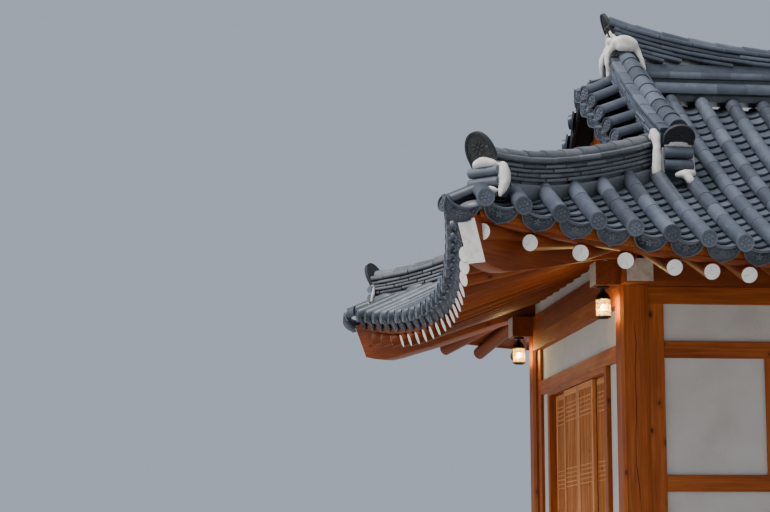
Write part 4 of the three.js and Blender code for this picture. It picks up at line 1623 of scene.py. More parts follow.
class RidgeShop:
    """The pieces that all ridges are laid from, each modelled once."""

    def __init__(self) -> None:
        """Models them."""
        self.top = cover_stock(0.070, 20, 0.93)
        self.wide = self.slab(0.25, 0.046, 0.020)
        self.thin = self.slab(0.235, 0.03, 0.010)
        self.round = cover_stock(0.068, 18, 0.97)
        self.plaque = plaque_stock()
        self.barrel = ball(20, 12).scaled(0.15, 0.07, 0.085)

    @staticmethod
    def slab(width: float, thick: float, eased: float) -> Stock:
        """A flat course tile along X from 0 to 1, its long edges rounded.

        Args:
            width: its width.
            thick: its thickness.
            eased: radius of its edges.

        Returns:
            The piece.
        """
        bench = Bench(bpy.ops.mesh.primitive_cube_add, size=1, location=(0.5, 0, 0.5)).size(1, width, thick)
        bench.pick(lambda middle, along: abs(along.x) > 0.9, edges=True)
        return bench.do(bpy.ops.mesh.bevel, offset=eased, segments=3).stock()

    def layers(self, seed: int, at: Matrix, drops: Sequence[float], half: float, size: float) -> Batch:
        """Half-round tiles laid across under a plaque.

        Args:
            seed: start of the random numbers.
            at: a place whose X points outwards.
            drops: how far each tile lies below it.
            half: half a tile's length.
            size: size of a tile's round, as a share.

        Returns:
            The tiles.
        """
        batch = Batch(seed)
        for drop in drops:
            piece = self.round.scaled(2 * half, size, size * 1.15)
            batch.add(piece, at @ move(0, -half, -drop) @ LAID)
        return batch

    def arched(self, seed: int, size: Sequence[float], at: Matrix, lean: float) -> Batch:
        """The arched end of a ridge.

        Args:
            seed: start of the random numbers.
            size: its size along X, Y and Z, as shares.
            at: a place whose X points outwards.
            lean: how far it leans outwards, in radians.

        Returns:
            The plaque.
        """
        batch = Batch(seed)
        batch.add(self.plaque.scaled(*size), at @ rotate(lean, "Y") @ rotate(math.pi, "Z"))
        return batch


@dataclass
class Icing:
    """Lime of one kind of ridge end, drawn in the place of its plaque: out, across, up."""

    place: Matrix
    fine: float = 0.011

    def batch(self, *lines: Sequence[Sequence[float]]) -> Batch:
        """Makes one soft body from lines of places and radii.

        Args:
            lines: bent lines of places and radii.

        Returns:
            The body.
        """
        made = Batch(20)
        made.add(icing([drop for line in lines for drop in smear(line)], self.fine), self.place)
        return made


def facing(at: Vector, degrees: float) -> Matrix:
    """A place whose X points outwards at an angle about Z."""
    return move(*at) @ rotate(math.radians(degrees), "Z")


@dataclass
class HipRidge:
    """Ridge over the front left hip, with its plaque, lime and core."""

    shop: RidgeShop
    start: float = 5.425
    head: float = 3.56
    height: float = 0.22
    lift: float = 0.06
    barrel_half: float = 0.12

    def crown(self, share: float) -> Vector:
        """Top line of the ridge, from its plaque (0) to the gable (1).

        Args:
            share: how far along the ridge.

        Returns:
            The point.
        """
        point = ROOF.hip(self.start + (self.head - self.start) * share)
        rise = self.lift * max(0.0, 1 - 2 * share) ** 3
        return point + Vector((0, 0, ROOF.tile_half + self.height + rise))

    def end(self) -> Matrix:
        """Place of the ridge end: on the mean tiles, X pointing outwards."""
        return facing(ROOF.hip(self.start), 225)

    def tiles(self) -> Batch:
        """All courses.

        Returns:
            The tiles.
        """
        batch = Batch(21)
        barrel = self.shop.barrel
        path = Path([self.crown(i / 24) for i in range(25)])
        course(batch, self.shop.top, path, rise=-0.070, length=0.265, stretch=0.972, tilt=0.006)
        course(
            batch, self.shop.wide.scaled(y=1.04), path, rise=-0.116, length=0.33, first=0.5, stretch=0.985,
            tilt=0.003
        )
        for k in range(4):
            thin = self.shop.thin.scaled(y=0.98 - 0.03 * k, z=0.93)
            course(
                batch, thin, path, rise=-0.158 - 0.036 * k, length=0.29, first=0.3 + 0.35 * (k % 3),
                sway=0.009, stretch=0.99
            )
        course(batch, self.shop.thin.scaled(y=0.58, z=7.0), path, rise=-0.31, length=0.4)
        course(batch, self.shop.thin.scaled(y=1.0, z=4.2), path, rise=-0.42, length=0.45, first=0.4)
        at_plaque = on(ROOF.hip(5.56), ROOF.hip(5.3)) @ move(0.05, 0, -0.150)
        batch.add(barrel.scaled(0.8, 1.9, 0.6), at_plaque)
        for k in range(12, 18):
            left, front = (k + 0.5) * ROOF.pitch, k * ROOF.pitch + PLAN.half_x - PLAN.half_y
            for x, aside, lift in ((left, 0.08, -0.035), (front, -0.08, 0.025)):
                if self.head < x < self.start - 0.05:
                    low, high = ROOF.hip(x + self.barrel_half), ROOF.hip(x - self.barrel_half)
                    shift = on(low, high).to_3x3() @ Vector((0, aside, lift))
                    batch.add(barrel, on((low + high) / 2 + shift, high + shift))
        return batch

    def plaque(self) -> Batch:
        """The arched end, leaning outwards on the diagonal."""
        at = self.end() @ move(-0.02, 0.012, 0.195) @ rotate(0.2, "X")
        return self.shop.arched(22, (1.0, 0.93, 0.98), at, 0.38)

    def lime(self) -> Batch:
        """Lime under and beside the plaque.

        Returns:
            The lime.
        """
        return Icing(self.end()).batch(
            [
                (-0.01, -0.095, 0.165, 0.022), (0.02, -0.05, 0.185, 0.036), (0.03, 0.02, 0.195, 0.044),
                (0.02, 0.09, 0.185, 0.036), (-0.01, 0.125, 0.165, 0.024)
            ],
            [
                (-0.04, 0.155, 0.165, 0.040), (-0.035, 0.17, 0.10, 0.052), (-0.03, 0.175, 0.03, 0.050),
                (-0.01, 0.17, -0.03, 0.034), (0.02, 0.165, -0.085, 0.016)
            ],
            [(-0.04, -0.115, 0.14, 0.018), (-0.03, -0.12, 0.06, 0.022), (-0.01, -0.12, -0.01, 0.018)],
            [
                (0.05, -0.10, -0.03, 0.022), (0.07, 0.0, -0.025, 0.038), (0.06, 0.09, -0.035, 0.030),
                (0.03, 0.13, -0.04, 0.022)
            ],
        )

    def cap(self) -> Batch:
        """Lime over the upper end, beside the foot of the gable ridge.

        Returns:
            The lime.
        """
        return Icing(Matrix.Identity(4)).batch(
            [
                (-3.675, -1.94, 4.615, 0.036), (-3.655, -1.96, 4.56, 0.043), (-3.65, -1.975, 4.47, 0.036),
                (-3.655, -1.985, 4.38, 0.042), (-3.66, -1.99, 4.27, 0.046), (-3.67, -2.0, 4.21, 0.03)
            ],
            [(-3.655, -1.96, 4.56, 0.04), (-3.66, -1.86, 4.58, 0.04)],
        )

    def under(self) -> Batch:
        """Two thick tiles set across under the plaque."""
        return self.shop.layers(24, self.end() @ move(0.0, 0.008, 0), (-0.122, -0.034), 0.138, 0.60)


@dataclass
class GableRidge:
    """Ridge on the front slope beside the left gable."""

    shop: RidgeShop
    x: float = -3.465
    foot: float = -1.99
    head: float = -0.12
    top: float = 1.45
    pitch: float = 0.588

    def crown(self, y: float) -> Vector:
        """Top line at a distance from the main ridge."""
        sag = 0.05 * math.sin(math.pi * (y - self.foot) / (self.head - self.foot))
        return Vector((self.x, y, PLAN.top + self.top + self.pitch * (y - self.foot) - sag))

    def line(self) -> Path:
        """The top line, from the foot up."""
        return Path([self.crown(y) for y in np.linspace(self.foot, self.head, 17)])

    def surface(self, y: float) -> float:
        """Height of the mean tiles under the ridge."""
        return ROOF.tile_top(
            PLAN.half_y + ROOF.eave_out + y, PLAN.half_x + ROOF.eave_out + ROOF.flare_out + self.x
        )

    def tiles(self) -> Batch:
        """All courses, from the round top down to the slope.

        Returns:
            The tiles.
        """
        batch = Batch(31)
        path = self.line()
        course(
            batch, self.shop.top.scaled(y=1.22, z=1.2), path, rise=-0.074, length=0.235, aside=-0.014,
            stretch=0.99, tilt=0.004
        )
        course(
            batch, self.shop.wide.scaled(y=1.16), path, rise=-0.112, length=0.33, first=0.55, aside=0.006,
            stretch=0.99, tilt=0.003
        )
        for k in range(6):
            thin = self.shop.thin.scaled(y=1.22 - 0.012 * k, z=0.8)
            course(
                batch, thin, path, rise=-0.138 - 0.027 * k, length=0.3, first=0.25 + 0.35 * (k % 3),
                sway=0.005
            )
        for aside, drop in ((-0.075, 0.365), (0.075, 0.365), (-0.085, 0.45), (0.085, 0.45)):
            course(batch, self.shop.round.scaled(y=0.9), path, rise=-drop, length=0.3, first=0.6, aside=aside)
        course(batch, self.shop.thin.scaled(y=0.85, z=5.0), path, rise=-0.3, length=0.4, first=0.5)
        for y in np.arange(self.foot + 0.14, self.head, 0.12):
            low, high = self.surface(y) - 0.1, self.crown(y).z - 0.25
            column = self.shop.thin.scaled(high - low, 0.85, 4.1)
            foot, head = Vector((self.x, y + 0.06, low)), Vector((self.x, y + 0.06, high))
            batch.add(column, on(foot, head, BACK))
        return batch

    def end(self) -> Matrix:
        """Place of the ridge end: at its crown, X pointing outwards."""
        return facing(self.crown(self.foot), 270)

    def plaque(self) -> Batch:
        """The arched end at the foot, leaning outwards."""
        return self.shop.arched(32, (0.9, 1.02, 0.70), self.end() @ move(-0.02, 0, -0.19), 0.72)

    def under(self) -> Batch:
        """Thick tiles set across under the plaque."""
        return self.shop.layers(34, self.end() @ move(-0.02, 0, 0), (0.276, 0.388), 0.125, 0.74)

    def lime(self) -> Batch:
        """Lime under the plaque and below the tiles under it.

        Returns:
            The lime.
        """
        return Icing(self.end()).batch(
            [
                (-0.02, -0.11, -0.215, 0.020), (0.0, -0.05, -0.203, 0.027), (0.0, 0.05, -0.203, 0.027),
                (-0.02, 0.11, -0.215, 0.020)
            ],
            [(-0.05, 0.125, -0.24, 0.02), (-0.05, 0.135, -0.34, 0.022), (-0.04, 0.13, -0.44, 0.024)],
            [(-0.05, -0.125, -0.24, 0.02), (-0.05, -0.135, -0.34, 0.022), (-0.04, -0.13, -0.44, 0.024)],
            [
                (0.0, -0.02, -0.475, 0.024), (0.04, 0.045, -0.475, 0.042), (0.07, 0.075, -0.53, 0.040),
                (0.09, 0.10, -0.575, 0.02)
            ],
            [(0.04, 0.045, -0.475, 0.042), (0.02, 0.12, -0.46, 0.03)],
        )

    def cap(self) -> Batch:
        """The thick lime over the head, against the main ridge: it tapers down both sides.

        Returns:
            The lime.
        """
        head = self.crown(self.head)
        return Icing(facing(head, 270), 0.012).batch(
            [
                (0.02, -0.11, 0.05, 0.048), (0.05, -0.05, 0.06, 0.066), (0.06, 0.02, 0.055, 0.070),
                (0.055, 0.07, 0.03, 0.056)
            ],
            [
                (0.055, 0.07, 0.03, 0.05), (0.055, 0.11, -0.03, 0.035), (0.075, 0.145, -0.12, 0.024),
                (0.10, 0.17, -0.22, 0.014)
            ],
            [(0.06, -0.075, 0.01, 0.045), (0.075, 0.0, 0.02, 0.052), (0.07, 0.05, 0.0, 0.045)],
            [
                (0.02, -0.11, 0.03, 0.036), (0.0, -0.165, -0.03, 0.032), (0.0, -0.178, -0.10, 0.029),
                (0.01, -0.172, -0.22, 0.014)
            ],
            [(0.0, -0.09, 0.09, 0.034), (-0.03, -0.115, 0.155, 0.028), (-0.06, -0.12, 0.185, 0.022)],
        )


@dataclass
class MainRidge:
    """The sweeping ridge along the top of the house."""

    shop: RidgeShop
    thins: int = 8
    base: float = 2.42

    def path(self, reach: float) -> Path:
        """The top line, out to a reach on both sides."""
        return Path([Vector((x, 0, ROOF.ridge_top(x))) for x in np.linspace(-reach, reach, 49)])

    def tiles(self) -> Batch:
        """All courses: they run with the curved top, and the lower ones die out towards the middle.

        Returns:
            The tiles.
        """
        batch = Batch(41)
        half = ROOF.ridge_half
        course(
            batch, self.shop.top.scaled(y=1.12, z=1.12), self.path(half), rise=-0.078, length=0.27,
            stretch=1.02, tilt=0.004
        )
        course(batch, self.shop.wide.scaled(y=1.16), self.path(half), rise=-0.118, length=0.33, first=0.5)
        for k in range(self.thins):
            drop = 0.160 + 0.045 * k
            path = self.path(half - 0.01 - 0.008 * k)
            piece = self.shop.thin.scaled(y=1.2 - 0.012 * k, z=1.25)
            for start, end in path.steps(0.3, 0.2 + 0.37 * (k % 3)):
                low, high = path.at(start), path.at(end)
                if (low.z + high.z) / 2 - drop < PLAN.top + self.base - 0.008:
                    continue
                down = Vector((
                    0, batch.random.uniform(-0.007, 0.007), -drop + batch.random.uniform(-0.003, 0.003)
                ))
                batch.add(piece.scaled(x=(high - low).length * 0.992), on(low + down, high + down))
        level = Path([Vector((-3.59, 0, 0)), Vector((3.59, 0, 0))])
        for z, aside, size in ((self.base - 0.128, 0.105, 0.85), (self.base - 0.27, 0.115, 1.34)):
            for hand in (-1, 1):
                course(
                    batch, self.shop.round.scaled(y=size, z=size), level, rise=PLAN.top + z, length=0.3,
                    first=size % 1, aside=hand * aside
                )
        core = PLAN.top + 2.06
        batch.add(
            self.shop.thin.scaled(2 * half, 1.0, 12.0), on(Vector((-half, 0, core)), Vector((half, 0, core)))
        )
        return batch

    def end(self) -> Matrix:
        """Place of the left end: at its crown, X pointing outwards."""
        return facing(Vector((-ROOF.ridge_half, 0, ROOF.ridge_top(ROOF.ridge_half))), 180)

    def both(self, batch: Batch) -> Batch:
        """The same at both ends."""
        return batch.moved(Matrix.Identity(4)).extend(batch, rotate(math.pi, "Z"))

    def plaques(self) -> Batch:
        """The arched ends, leaning outwards."""
        return self.both(self.shop.arched(42, (0.8, 0.9, 1.08), self.end() @ move(-0.05, 0, -0.237), 0.375))

    def lime(self) -> Batch:
        """Lime under each plaque.

        Returns:
            The lime.
        """
        return self.both(Icing(self.end(), 0.014).batch(
            [(-0.01, -0.09, -0.26, 0.034), (0.0, 0.0, -0.245, 0.045), (-0.01, 0.09, -0.26, 0.034)],
            [(0.0, 0.0, -0.3, 0.045), (0.015, 0.0, -0.45, 0.03), (0.015, 0.0, -0.6, 0.03)],
        ))


# Gable


@dataclass
class Gable:
    """The left gable: verge tiles, barge boards and the boarded wall."""

    foot: float = 1.455
    out: float = 0.30
    rows: tuple[float, ...] = (0.12, 0.42, 0.72, 1.02, 1.32)
    row_length: float = 0.38
    fan: float = 0.055
    board: float = 0.194
    board_gap: float = 0.003

    def edge(self, y: float) -> float:
        """Height of the mean tiles at the verge, which is bedded up towards its foot.

        Args:
            y: distance from the middle of the house.

        Returns:
            The height.
        """
        reach = PLAN.half_y + ROOF.eave_out - abs(y)
        from_corner = PLAN.half_x + ROOF.eave_out + ROOF.flare_out - ROOF.gable_x - self.out / 2
        return ROOF.tile_top(reach, from_corner) + 0.03 * abs(y)

    def tiles(self, disc: Stock, leaf: Stock) -> tuple[Batch, Batch]:
        """Short rows of tiles that point outwards and down over the verge, and their ends.

        Args:
            disc: the round end.
            leaf: the drooping end.

        Returns:
            The rows and their ends.
        """
        rows, ends = Batch(51), Batch(52)
        tile, pan = lip_stock(0.068, self.row_length), pan_stock(0.26, 0.045)
        outer, inner = -ROOF.gable_x - self.out + 0.01, -ROOF.gable_x + 0.06
        up = Vector((-0.3, 0, 1)).normalized()
        lifts = np.interp(np.arange(-1, 9) / 2, range(5), (-0.075, -0.012, 0.002, 0.014, 0.03))
        for hand in (-1, 1):
            for k, y in enumerate(self.rows):
                z = self.edge(y) + lifts[2 * k + 1]
                start = Vector((outer + 0.035, hand * (y + self.fan), z))
                end = Vector((inner, hand * (y - 0.10), z + 0.165 - 0.012 * k))
                rows.add(tile.scaled(x=(end - start).length / self.row_length), on(start, end, up))
                ends.add(disc, on(start, end, up))
            for k, y in enumerate((0.0, *(row + 0.15 for row in self.rows[:-1]))):
                if y == 0 and hand > 0:
                    continue
                z = self.edge(y) + lifts[2 * k] - (0.075 if k else 0.03)
                start = Vector((outer + 0.025, hand * (y + self.fan), z))
                end = Vector((inner, hand * (y - 0.09), z + 0.12))
                rows.add(pan.scaled((end - start).length), on(start, end, up))
                ends.add(leaf, on(start - Vector((0.03, 0, 0)), end, up))
        return rows, ends

    def band(self, top: float, bottom: float, depth: float, x: float, ragged: float = 0.0) -> Batch:
        """Boards cut to the curve of the verge, one for each half.

        Args:
            top: how far its upper edge lies below the tiles.
            bottom: how far its lower edge lies below them.
            depth: its thickness.
            x: its outer face.
            ragged: height of the steps in its lower edge.

        Returns:
            The boards.
        """
        batch = Batch(53)
        ys = np.linspace(0.0, self.foot, 19)
        upper = [(y, self.edge(y) - top) for y in ys]
        lower = [(y, self.edge(y) - bottom + (ragged if i % 2 else 0.0)) for i, y in enumerate(ys)]
        half = plate(upper + lower[::-1], depth, 0.004)
        for hand in (-1, 1):
            loose = Batch()
            loose.add(half)
            batch.extend(loose, mirror((1, hand)) @ move(x, 0, 0) @ LAID)
        return batch

    def wall(self) -> Joinery:
        """Upright boards of the gable wall, with a rail along the foot.

        Returns:
            The timber.
        """
        wood = Joinery(54)
        width, gap = self.board, self.board_gap
        low = PLAN.top + 0.93
        x = -ROOF.gable_x - 0.045
        for k in range(-7, 7):
            left, right = k * width + gap, (k + 1) * width - gap
            high = self.edge(max(abs(left), abs(right))) - 0.11
            if high - low > 0.05:
                wood.box((x - 0.03, left, low), (x + 0.02, right, high), 0.003)
        wood.box((x - 0.045, -1.42, low + 0.10), (x - 0.03, 1.42, low + 0.22), 0.004)
        return wood


# Eaves


@dataclass
class Eaves:
    """Rafters, boarding and fillet of one side, drawn facing -Y."""

    side: Side
    radius: float = 0.068
    inner: float = 1.43
    under: float = 0.068
    corner_gap: float = 0.12
    fan_gap: float = 0.06
    fan_spread: float = 0.1
    board_front: float = 0.20
    boarded: float = 1.58
    plank: float = 0.1518
    plank_gap: float = 0.003
    thick: float = 0.021
    fillet_in: float = 0.148

    @property
    def fan(self) -> tuple[float, ...]:
        """Distances of the fanned rafter ends from the corner."""
        return (0.21, 0.59, 1.0, 1.37) if self.side.is_long else (0.68, 1.01, 1.38)

    def axis(self, x: float, s: float) -> Vector:
        """Point on the rafter axes, s in from the straight line of their ends."""
        return Vector((x, self.side.out(s + ROOF.to_tile), ROOF.rafter_axis(s, self.side.inward(x))))

    def tip(self, x: float) -> Vector:
        """Outer end of the axis of the rafter at x."""
        return self.axis(x, -ROOF.rafter_flare(self.side.inward(x)))

    def lines(self) -> list[tuple[Vector, Vector]]:
        """Both ends of each rafter's axis: parallel ones, then the fans at the corners.

        Returns:
            Outer and inner end of each axis.
        """
        half, to_tile = self.side.half, ROOF.to_tile
        reach = half - self.corner_gap
        count = int(2 * reach / ROOF.rafter_pitch + 0.5)
        found = []
        for i in range(count + 1):
            x = -reach + 2 * reach * i / count
            found.append((self.tip(x), self.axis(x, min(self.inner, ROOF.rafter_out + half - abs(x)))))
        for from_corner in self.fan:
            for hand in (-1, 1):
                x = hand * (self.side.corner - to_tile - from_corner)
                root = half - self.fan_gap - from_corner * self.fan_spread
                height = ROOF.rafter_axis(ROOF.rafter_out + half - root, self.side.corner - root)
                found.append((self.tip(x), Vector((hand * root, -(self.side.depth - half + root), height))))
        return found

    def rafters(self) -> tuple[Batch, Batch]:
        """The round rafters, and the white paint on their ends.

        Returns:
            The rafters and the paint.
        """
        logs, ends = Batch(61), Batch(62)
        log_piece = rod_stock(self.radius, 20, 0.004)
        cap = bar(self.radius - 0.0035, 20, -0.0015, 0.0015).stock()
        for start, end in self.lines():
            place = on(start, end)
            logs.add(log_piece.scaled(x=(end - start).length), place)
            ends.add(cap, place, shift=False)
        return logs, ends

    def boards(self) -> Batch:
        """Boards over the rafters, cut to the flared eave and to the hips.

        Returns:
            The boards.
        """
        batch = Batch(63)
        width, thick, reach = self.plank, self.thick, self.side.half + ROOF.eave_out
        bench = Bench(
            bpy.ops.mesh.primitive_grid_add, x_subdivisions=7, y_subdivisions=1, size=1, location=(0.5, 0, 0)
        )
        plank = bench.all().extrude(0, 0, 1).outward().stock()
        count = int((self.side.corner - 0.18) / width)
        for k in range(-count, count):
            middle = (k + 0.5) * width
            length = min(self.boarded, reach - abs(middle)) - 0.1

            def place(points: np.ndarray) -> np.ndarray:
                """Bends one plank onto the rafters.

                Args:
                    points: points of the plank.

                Returns:
                    Points of the bent plank.
                """
                for row in points:
                    x = middle + row[1] * (width - self.plank_gap)
                    c = self.side.inward(x)
                    low = self.board_front - ROOF.rafter_flare(c)
                    high = max(low + 0.01, min(self.boarded, reach - abs(x)))
                    t = low + row[0] * (high - low)
                    z = ROOF.rafter_axis(t - ROOF.to_tile, c) + self.under + row[2] * thick
                    row[:] = (x, self.side.out(t), z)
                return points

            batch.add(plank.bent(place), pattern=plank.scaled(length, width, thick).points)
        return batch

    def strip(self, seed: int, t: float, width: float, low: float, high: float, eased: float) -> Joinery:
        """A curved timber along the eave: its place, width and heights over the rafter axes.

        Args:
            seed: start of the random numbers.
            t: distance in from the tile ends.
            width: its width.
            low: its underside over the rafter axes.
            high: its top over the rafter axes.
            eased: width of its chamfers.

        Returns:
            The timber.
        """
        wood = Joinery(seed)
        limit = self.side.corner - 0.27
        xs = np.linspace(-limit, limit, 49)
        middle = (low + high) / 2

        def point(x: float) -> Vector:
            """Middle of the timber at x.

            Args:
                x: distance from the middle of the side.

            Returns:
                The point.
            """
            s = t - ROOF.rafter_flare(self.side.inward(x)) - ROOF.to_tile
            return self.axis(x, s) + Vector((0, 0, middle))

        piece = beam_stock(width, high - low, eased)
        for a, b in zip(xs, xs[1:]):
            start, end = point(a), point(b)
            part = piece.scaled(x=(end - start).length * 1.012)
            wood.add(part, on(start, end), shift=False, pattern=part.points + np.array((a, seed, 0)))
        return wood

    def fillet(self) -> Batch:
        """Upright boards along the eave, cut hollow under each pan tile.

        Returns:
            The boards.
        """
        batch = Batch(65)
        slope = TiledSlope(self.side)
        half, back = ROOF.pitch / 2, self.fillet_in
        for x in slope.gaps():
            if self.side.inward(x) < 0.45:
                continue
            t = slope.first(x) + back
            point = slope.surface(x, t)
            c = self.side.inward(x)
            low = ROOF.rafter_axis(t - ROOF.to_tile, c) + 0.104 - point.z
            ys = np.linspace(half, -half, 13)
            top = [(y, min(-0.070, -0.120 + 0.05 * (y / 0.135) ** 2)) for y in ys]
            shape = plate([(-half, low), (half, low), *top], 0.035, 0.002)
            left, right = (slope.surface(side, slope.first(side) + back) for side in (x - half, x + half))
            along = (right - left).normalized()
            out = along.cross(UP).normalized()
            up = out.cross(along)
            place = axes(along, up, out, point)
            wide = shape.scaled(x=(right - left).length / ROOF.pitch * 1.004)
            batch.add(wide, place, shift=False, pattern=wide.points + np.array((x, 3.0, 0.0)))
        return batch

    def infill(self) -> Joinery:
        """Lime between the rafters, over the wall plate.

        Returns:
            The lime.
        """
        lime = Joinery(66)
        reach, y = self.side.half - 0.21, -self.side.depth + 0.035
        low, lift = PLAN.top + 0.2055, self.under + 0.01
        s = ROOF.rafter_out + self.side.depth + y
        tops = [(x, self.axis(x, s).z + lift) for x in np.linspace(reach, -reach, 33)]
        infill = plate([(-reach, low), (reach, low), *tops], 0.08)
        lime.add(infill, Matrix(((1, 0, 0, 0), (0, 0, -1, y + 0.08), (0, 1, 0, 0), (0, 0, 0, 1))))
        return lime


def painted(half: float, tall: float) -> Stock:
    """A coat of paint facing along X, by half its width and half its height."""
    return plate([(-half, -tall), (half, -tall), (half, tall), (-half, tall)], 0.003).moved(LAID)


@dataclass
class CornerRafter:
    """The curved rafter under the front left hip."""

    width: float = 0.17
    tip: float = 1.58
    heel: float = 1.48

    def top(self, out: float) -> float:
        """Height of its top, by the distance out from the column along one eave."""
        c = ROOF.eave_out + ROOF.flare_out - out
        return ROOF.rafter_axis(ROOF.rafter_out - out, c) + 0.093

    @staticmethod
    def corner() -> Matrix:
        """The outer corner of the corner column, X along the diagonal."""
        return move(-PLAN.half_x, -PLAN.half_y, 0) @ rotate(math.pi / 4, "Z")

    def outline(self) -> list[tuple[float, float]]:
        """Side view: distance along the diagonal, and height.

        Returns:
            The corners of the outline, in turn.
        """
        belly = [
            (self.heel, -0.054), (1.40, -0.080), (1.29, -0.095), (1.195, -0.080), (1.1, -0.055),
            (0.95, -0.020), (0.8, 0.018), (0.656, 0.062), (0.47, 0.113), (0.3, 0.160),
        ]
        points = [(self.tip, self.top(self.tip) - 0.03)] + [(out, PLAN.top + z) for out, z in belly]
        points += [(0.12, PLAN.top + 0.206), (-0.4, PLAN.top + 0.206)]
        points += [(out, self.top(out)) for out in (-0.4, 0.0, 0.3, 0.6, 0.9, 1.2, 1.4, self.tip)]
        return [(-out * math.sqrt(2), z) for out, z in points]

    def timber(self) -> Batch:
        """The rafter, its grain along the diagonal.

        Returns:
            The rafter.
        """
        stand = Matrix(((1, 0, 0, 0), (0, 0, -1, self.width / 2), (0, 1, 0, 0), (0, 0, 0, 1)))
        blade = plate(self.outline(), self.width, 0.012, 2).moved(stand)
        batch = Batch(71)
        batch.add(blade, self.corner())
        return batch

    def paint(self) -> Batch:
        """White paint on the sloping end.

        Returns:
            The paint.
        """
        batch = Batch(72)
        (x0, z0), (x1, z1) = self.outline()[0], self.outline()[1]
        run = Vector((x1 - x0, 0, z1 - z0))
        half, long = self.width / 2 - 0.004, run.length / 2 - 0.003
        across = BACK
        out = across.cross(run).normalized()
        out = out if out.x < 0 else -out
        middle = Vector(((x0 + x1) / 2, 0, (z0 + z1) / 2)) - out * 0.0015
        place = axes(out, across, out.cross(across), middle)
        face = painted(half, long)
        batch.add(face, self.corner() @ place, shift=False)
        return batch


# Walls


@dataclass
class Bay:
    """One bay of wall between two columns, drawn facing -Y with the column face at y = 0."""

    name: str
    x: float
    y: float
    turn: float
    timber: Joinery = field(default_factory=lambda: Joinery(81))
    plaster: Joinery = field(default_factory=lambda: Joinery(82))

    def placed(self) -> Matrix:
        """From the drawn bay to its place."""
        return move(self.x, self.y, 0) @ rotate(self.turn, "Z")

    def rail(self, band: tuple[float, float], left: float, right: float) -> None:
        """A horizontal timber between two places."""
        low, high = (PLAN.top + level for level in band)
        self.timber.box((left, PLAN.recess, low), (right, PLAN.recess + PLAN.depth, high), 0.004)

    def fill(self, left: float, right: float, low: float, high: float) -> None:
        """A plaster panel, tucked a little behind the timbers round it.

        Args:
            left: its left edge.
            right: its right edge.
            low: its lower edge, against the top of the wall.
            high: its upper edge, against the top of the wall.
        """
        y0, y1 = PLAN.recess + PLAN.plaster_recess, PLAN.recess + PLAN.depth - PLAN.plaster_recess
        tuck = 0.006
        z0, z1 = PLAN.top + low - tuck, PLAN.top + high + tuck
        self.plaster.box((left - tuck, y0, z0), (right + tuck, y1, z1), 0)

    def window_wall(self) -> "Bay":
        """Head, middle and lower beams, jambs and posts, with plaster round the window.

        Returns:
            The bay.
        """
        clear, jamb, hole = PLAN.clear, PLAN.clear - PLAN.jamb, PLAN.window_half
        self.rail((PLAN.head[0], -PLAN.gap), -clear, clear)
        self.rail(PLAN.sill, -clear, clear)
        for band in (PLAN.middle, PLAN.lower):
            self.rail(band, -jamb, jamb)
        for hand in (-1, 1):
            self.rail((PLAN.sill[1], PLAN.head[0]), *sorted((hand * jamb, hand * clear)))
            self.rail((PLAN.lower[1], PLAN.middle[0]), *sorted((hand * hole, hand * (hole + PLAN.post))))
            self.fill(*sorted((hand * (hole + PLAN.post), hand * jamb)), PLAN.lower[1], PLAN.middle[0])
        self.fill(-jamb, jamb, PLAN.middle[1], PLAN.head[0])
        self.fill(-jamb, jamb, PLAN.sill[1], PLAN.lower[0])
        return self

    def over_door(self) -> "Bay":
        """Head and middle beams over the sliding doors.

        Returns:
            The bay.
        """
        clear, jamb = PLAN.clear, PLAN.clear - PLAN.jamb
        back = PLAN.recess + PLAN.depth
        self.timber.box((-clear, 0, PLAN.top + PLAN.head[0]), (clear, back, PLAN.top - PLAN.gap), 0)
        self.rail(PLAN.middle, -clear, clear)
        for hand in (-1, 1):
            self.rail((PLAN.middle[1], PLAN.head[0]), *sorted((hand * jamb, hand * clear)))
        self.fill(-jamb, jamb, PLAN.middle[1], PLAN.head[0])
        return self

    def beside_door(self, hand: int) -> "Bay":
        """Jamb and narrow plaster strip at one end.

        Args:
            hand: -1 or 1 for the left or right end.

        Returns:
            The bay.
        """
        clear, jamb = PLAN.clear, PLAN.clear - PLAN.jamb
        low, high = PLAN.sill[1] + PLAN.gap, PLAN.middle[0] - PLAN.gap
        self.rail((low, high), *sorted((hand * jamb, hand * clear)))
        left, right = sorted((hand * (PLAN.door_half + 0.006), hand * jamb))
        self.fill(left, right, low + 0.006, high - 0.006)
        return self

    def build(self, node: str) -> None:
        """Makes the objects that stand for a wall node.

        Args:
            node: the wall node.
        """
        self.timber.moved(self.placed()).build(f"{node}_timbers", PINE, "pine", (node,))
        if self.plaster.parts:
            self.plaster.moved(self.placed()).build(f"{node}_plaster", PLASTER, "plaster", (node,))


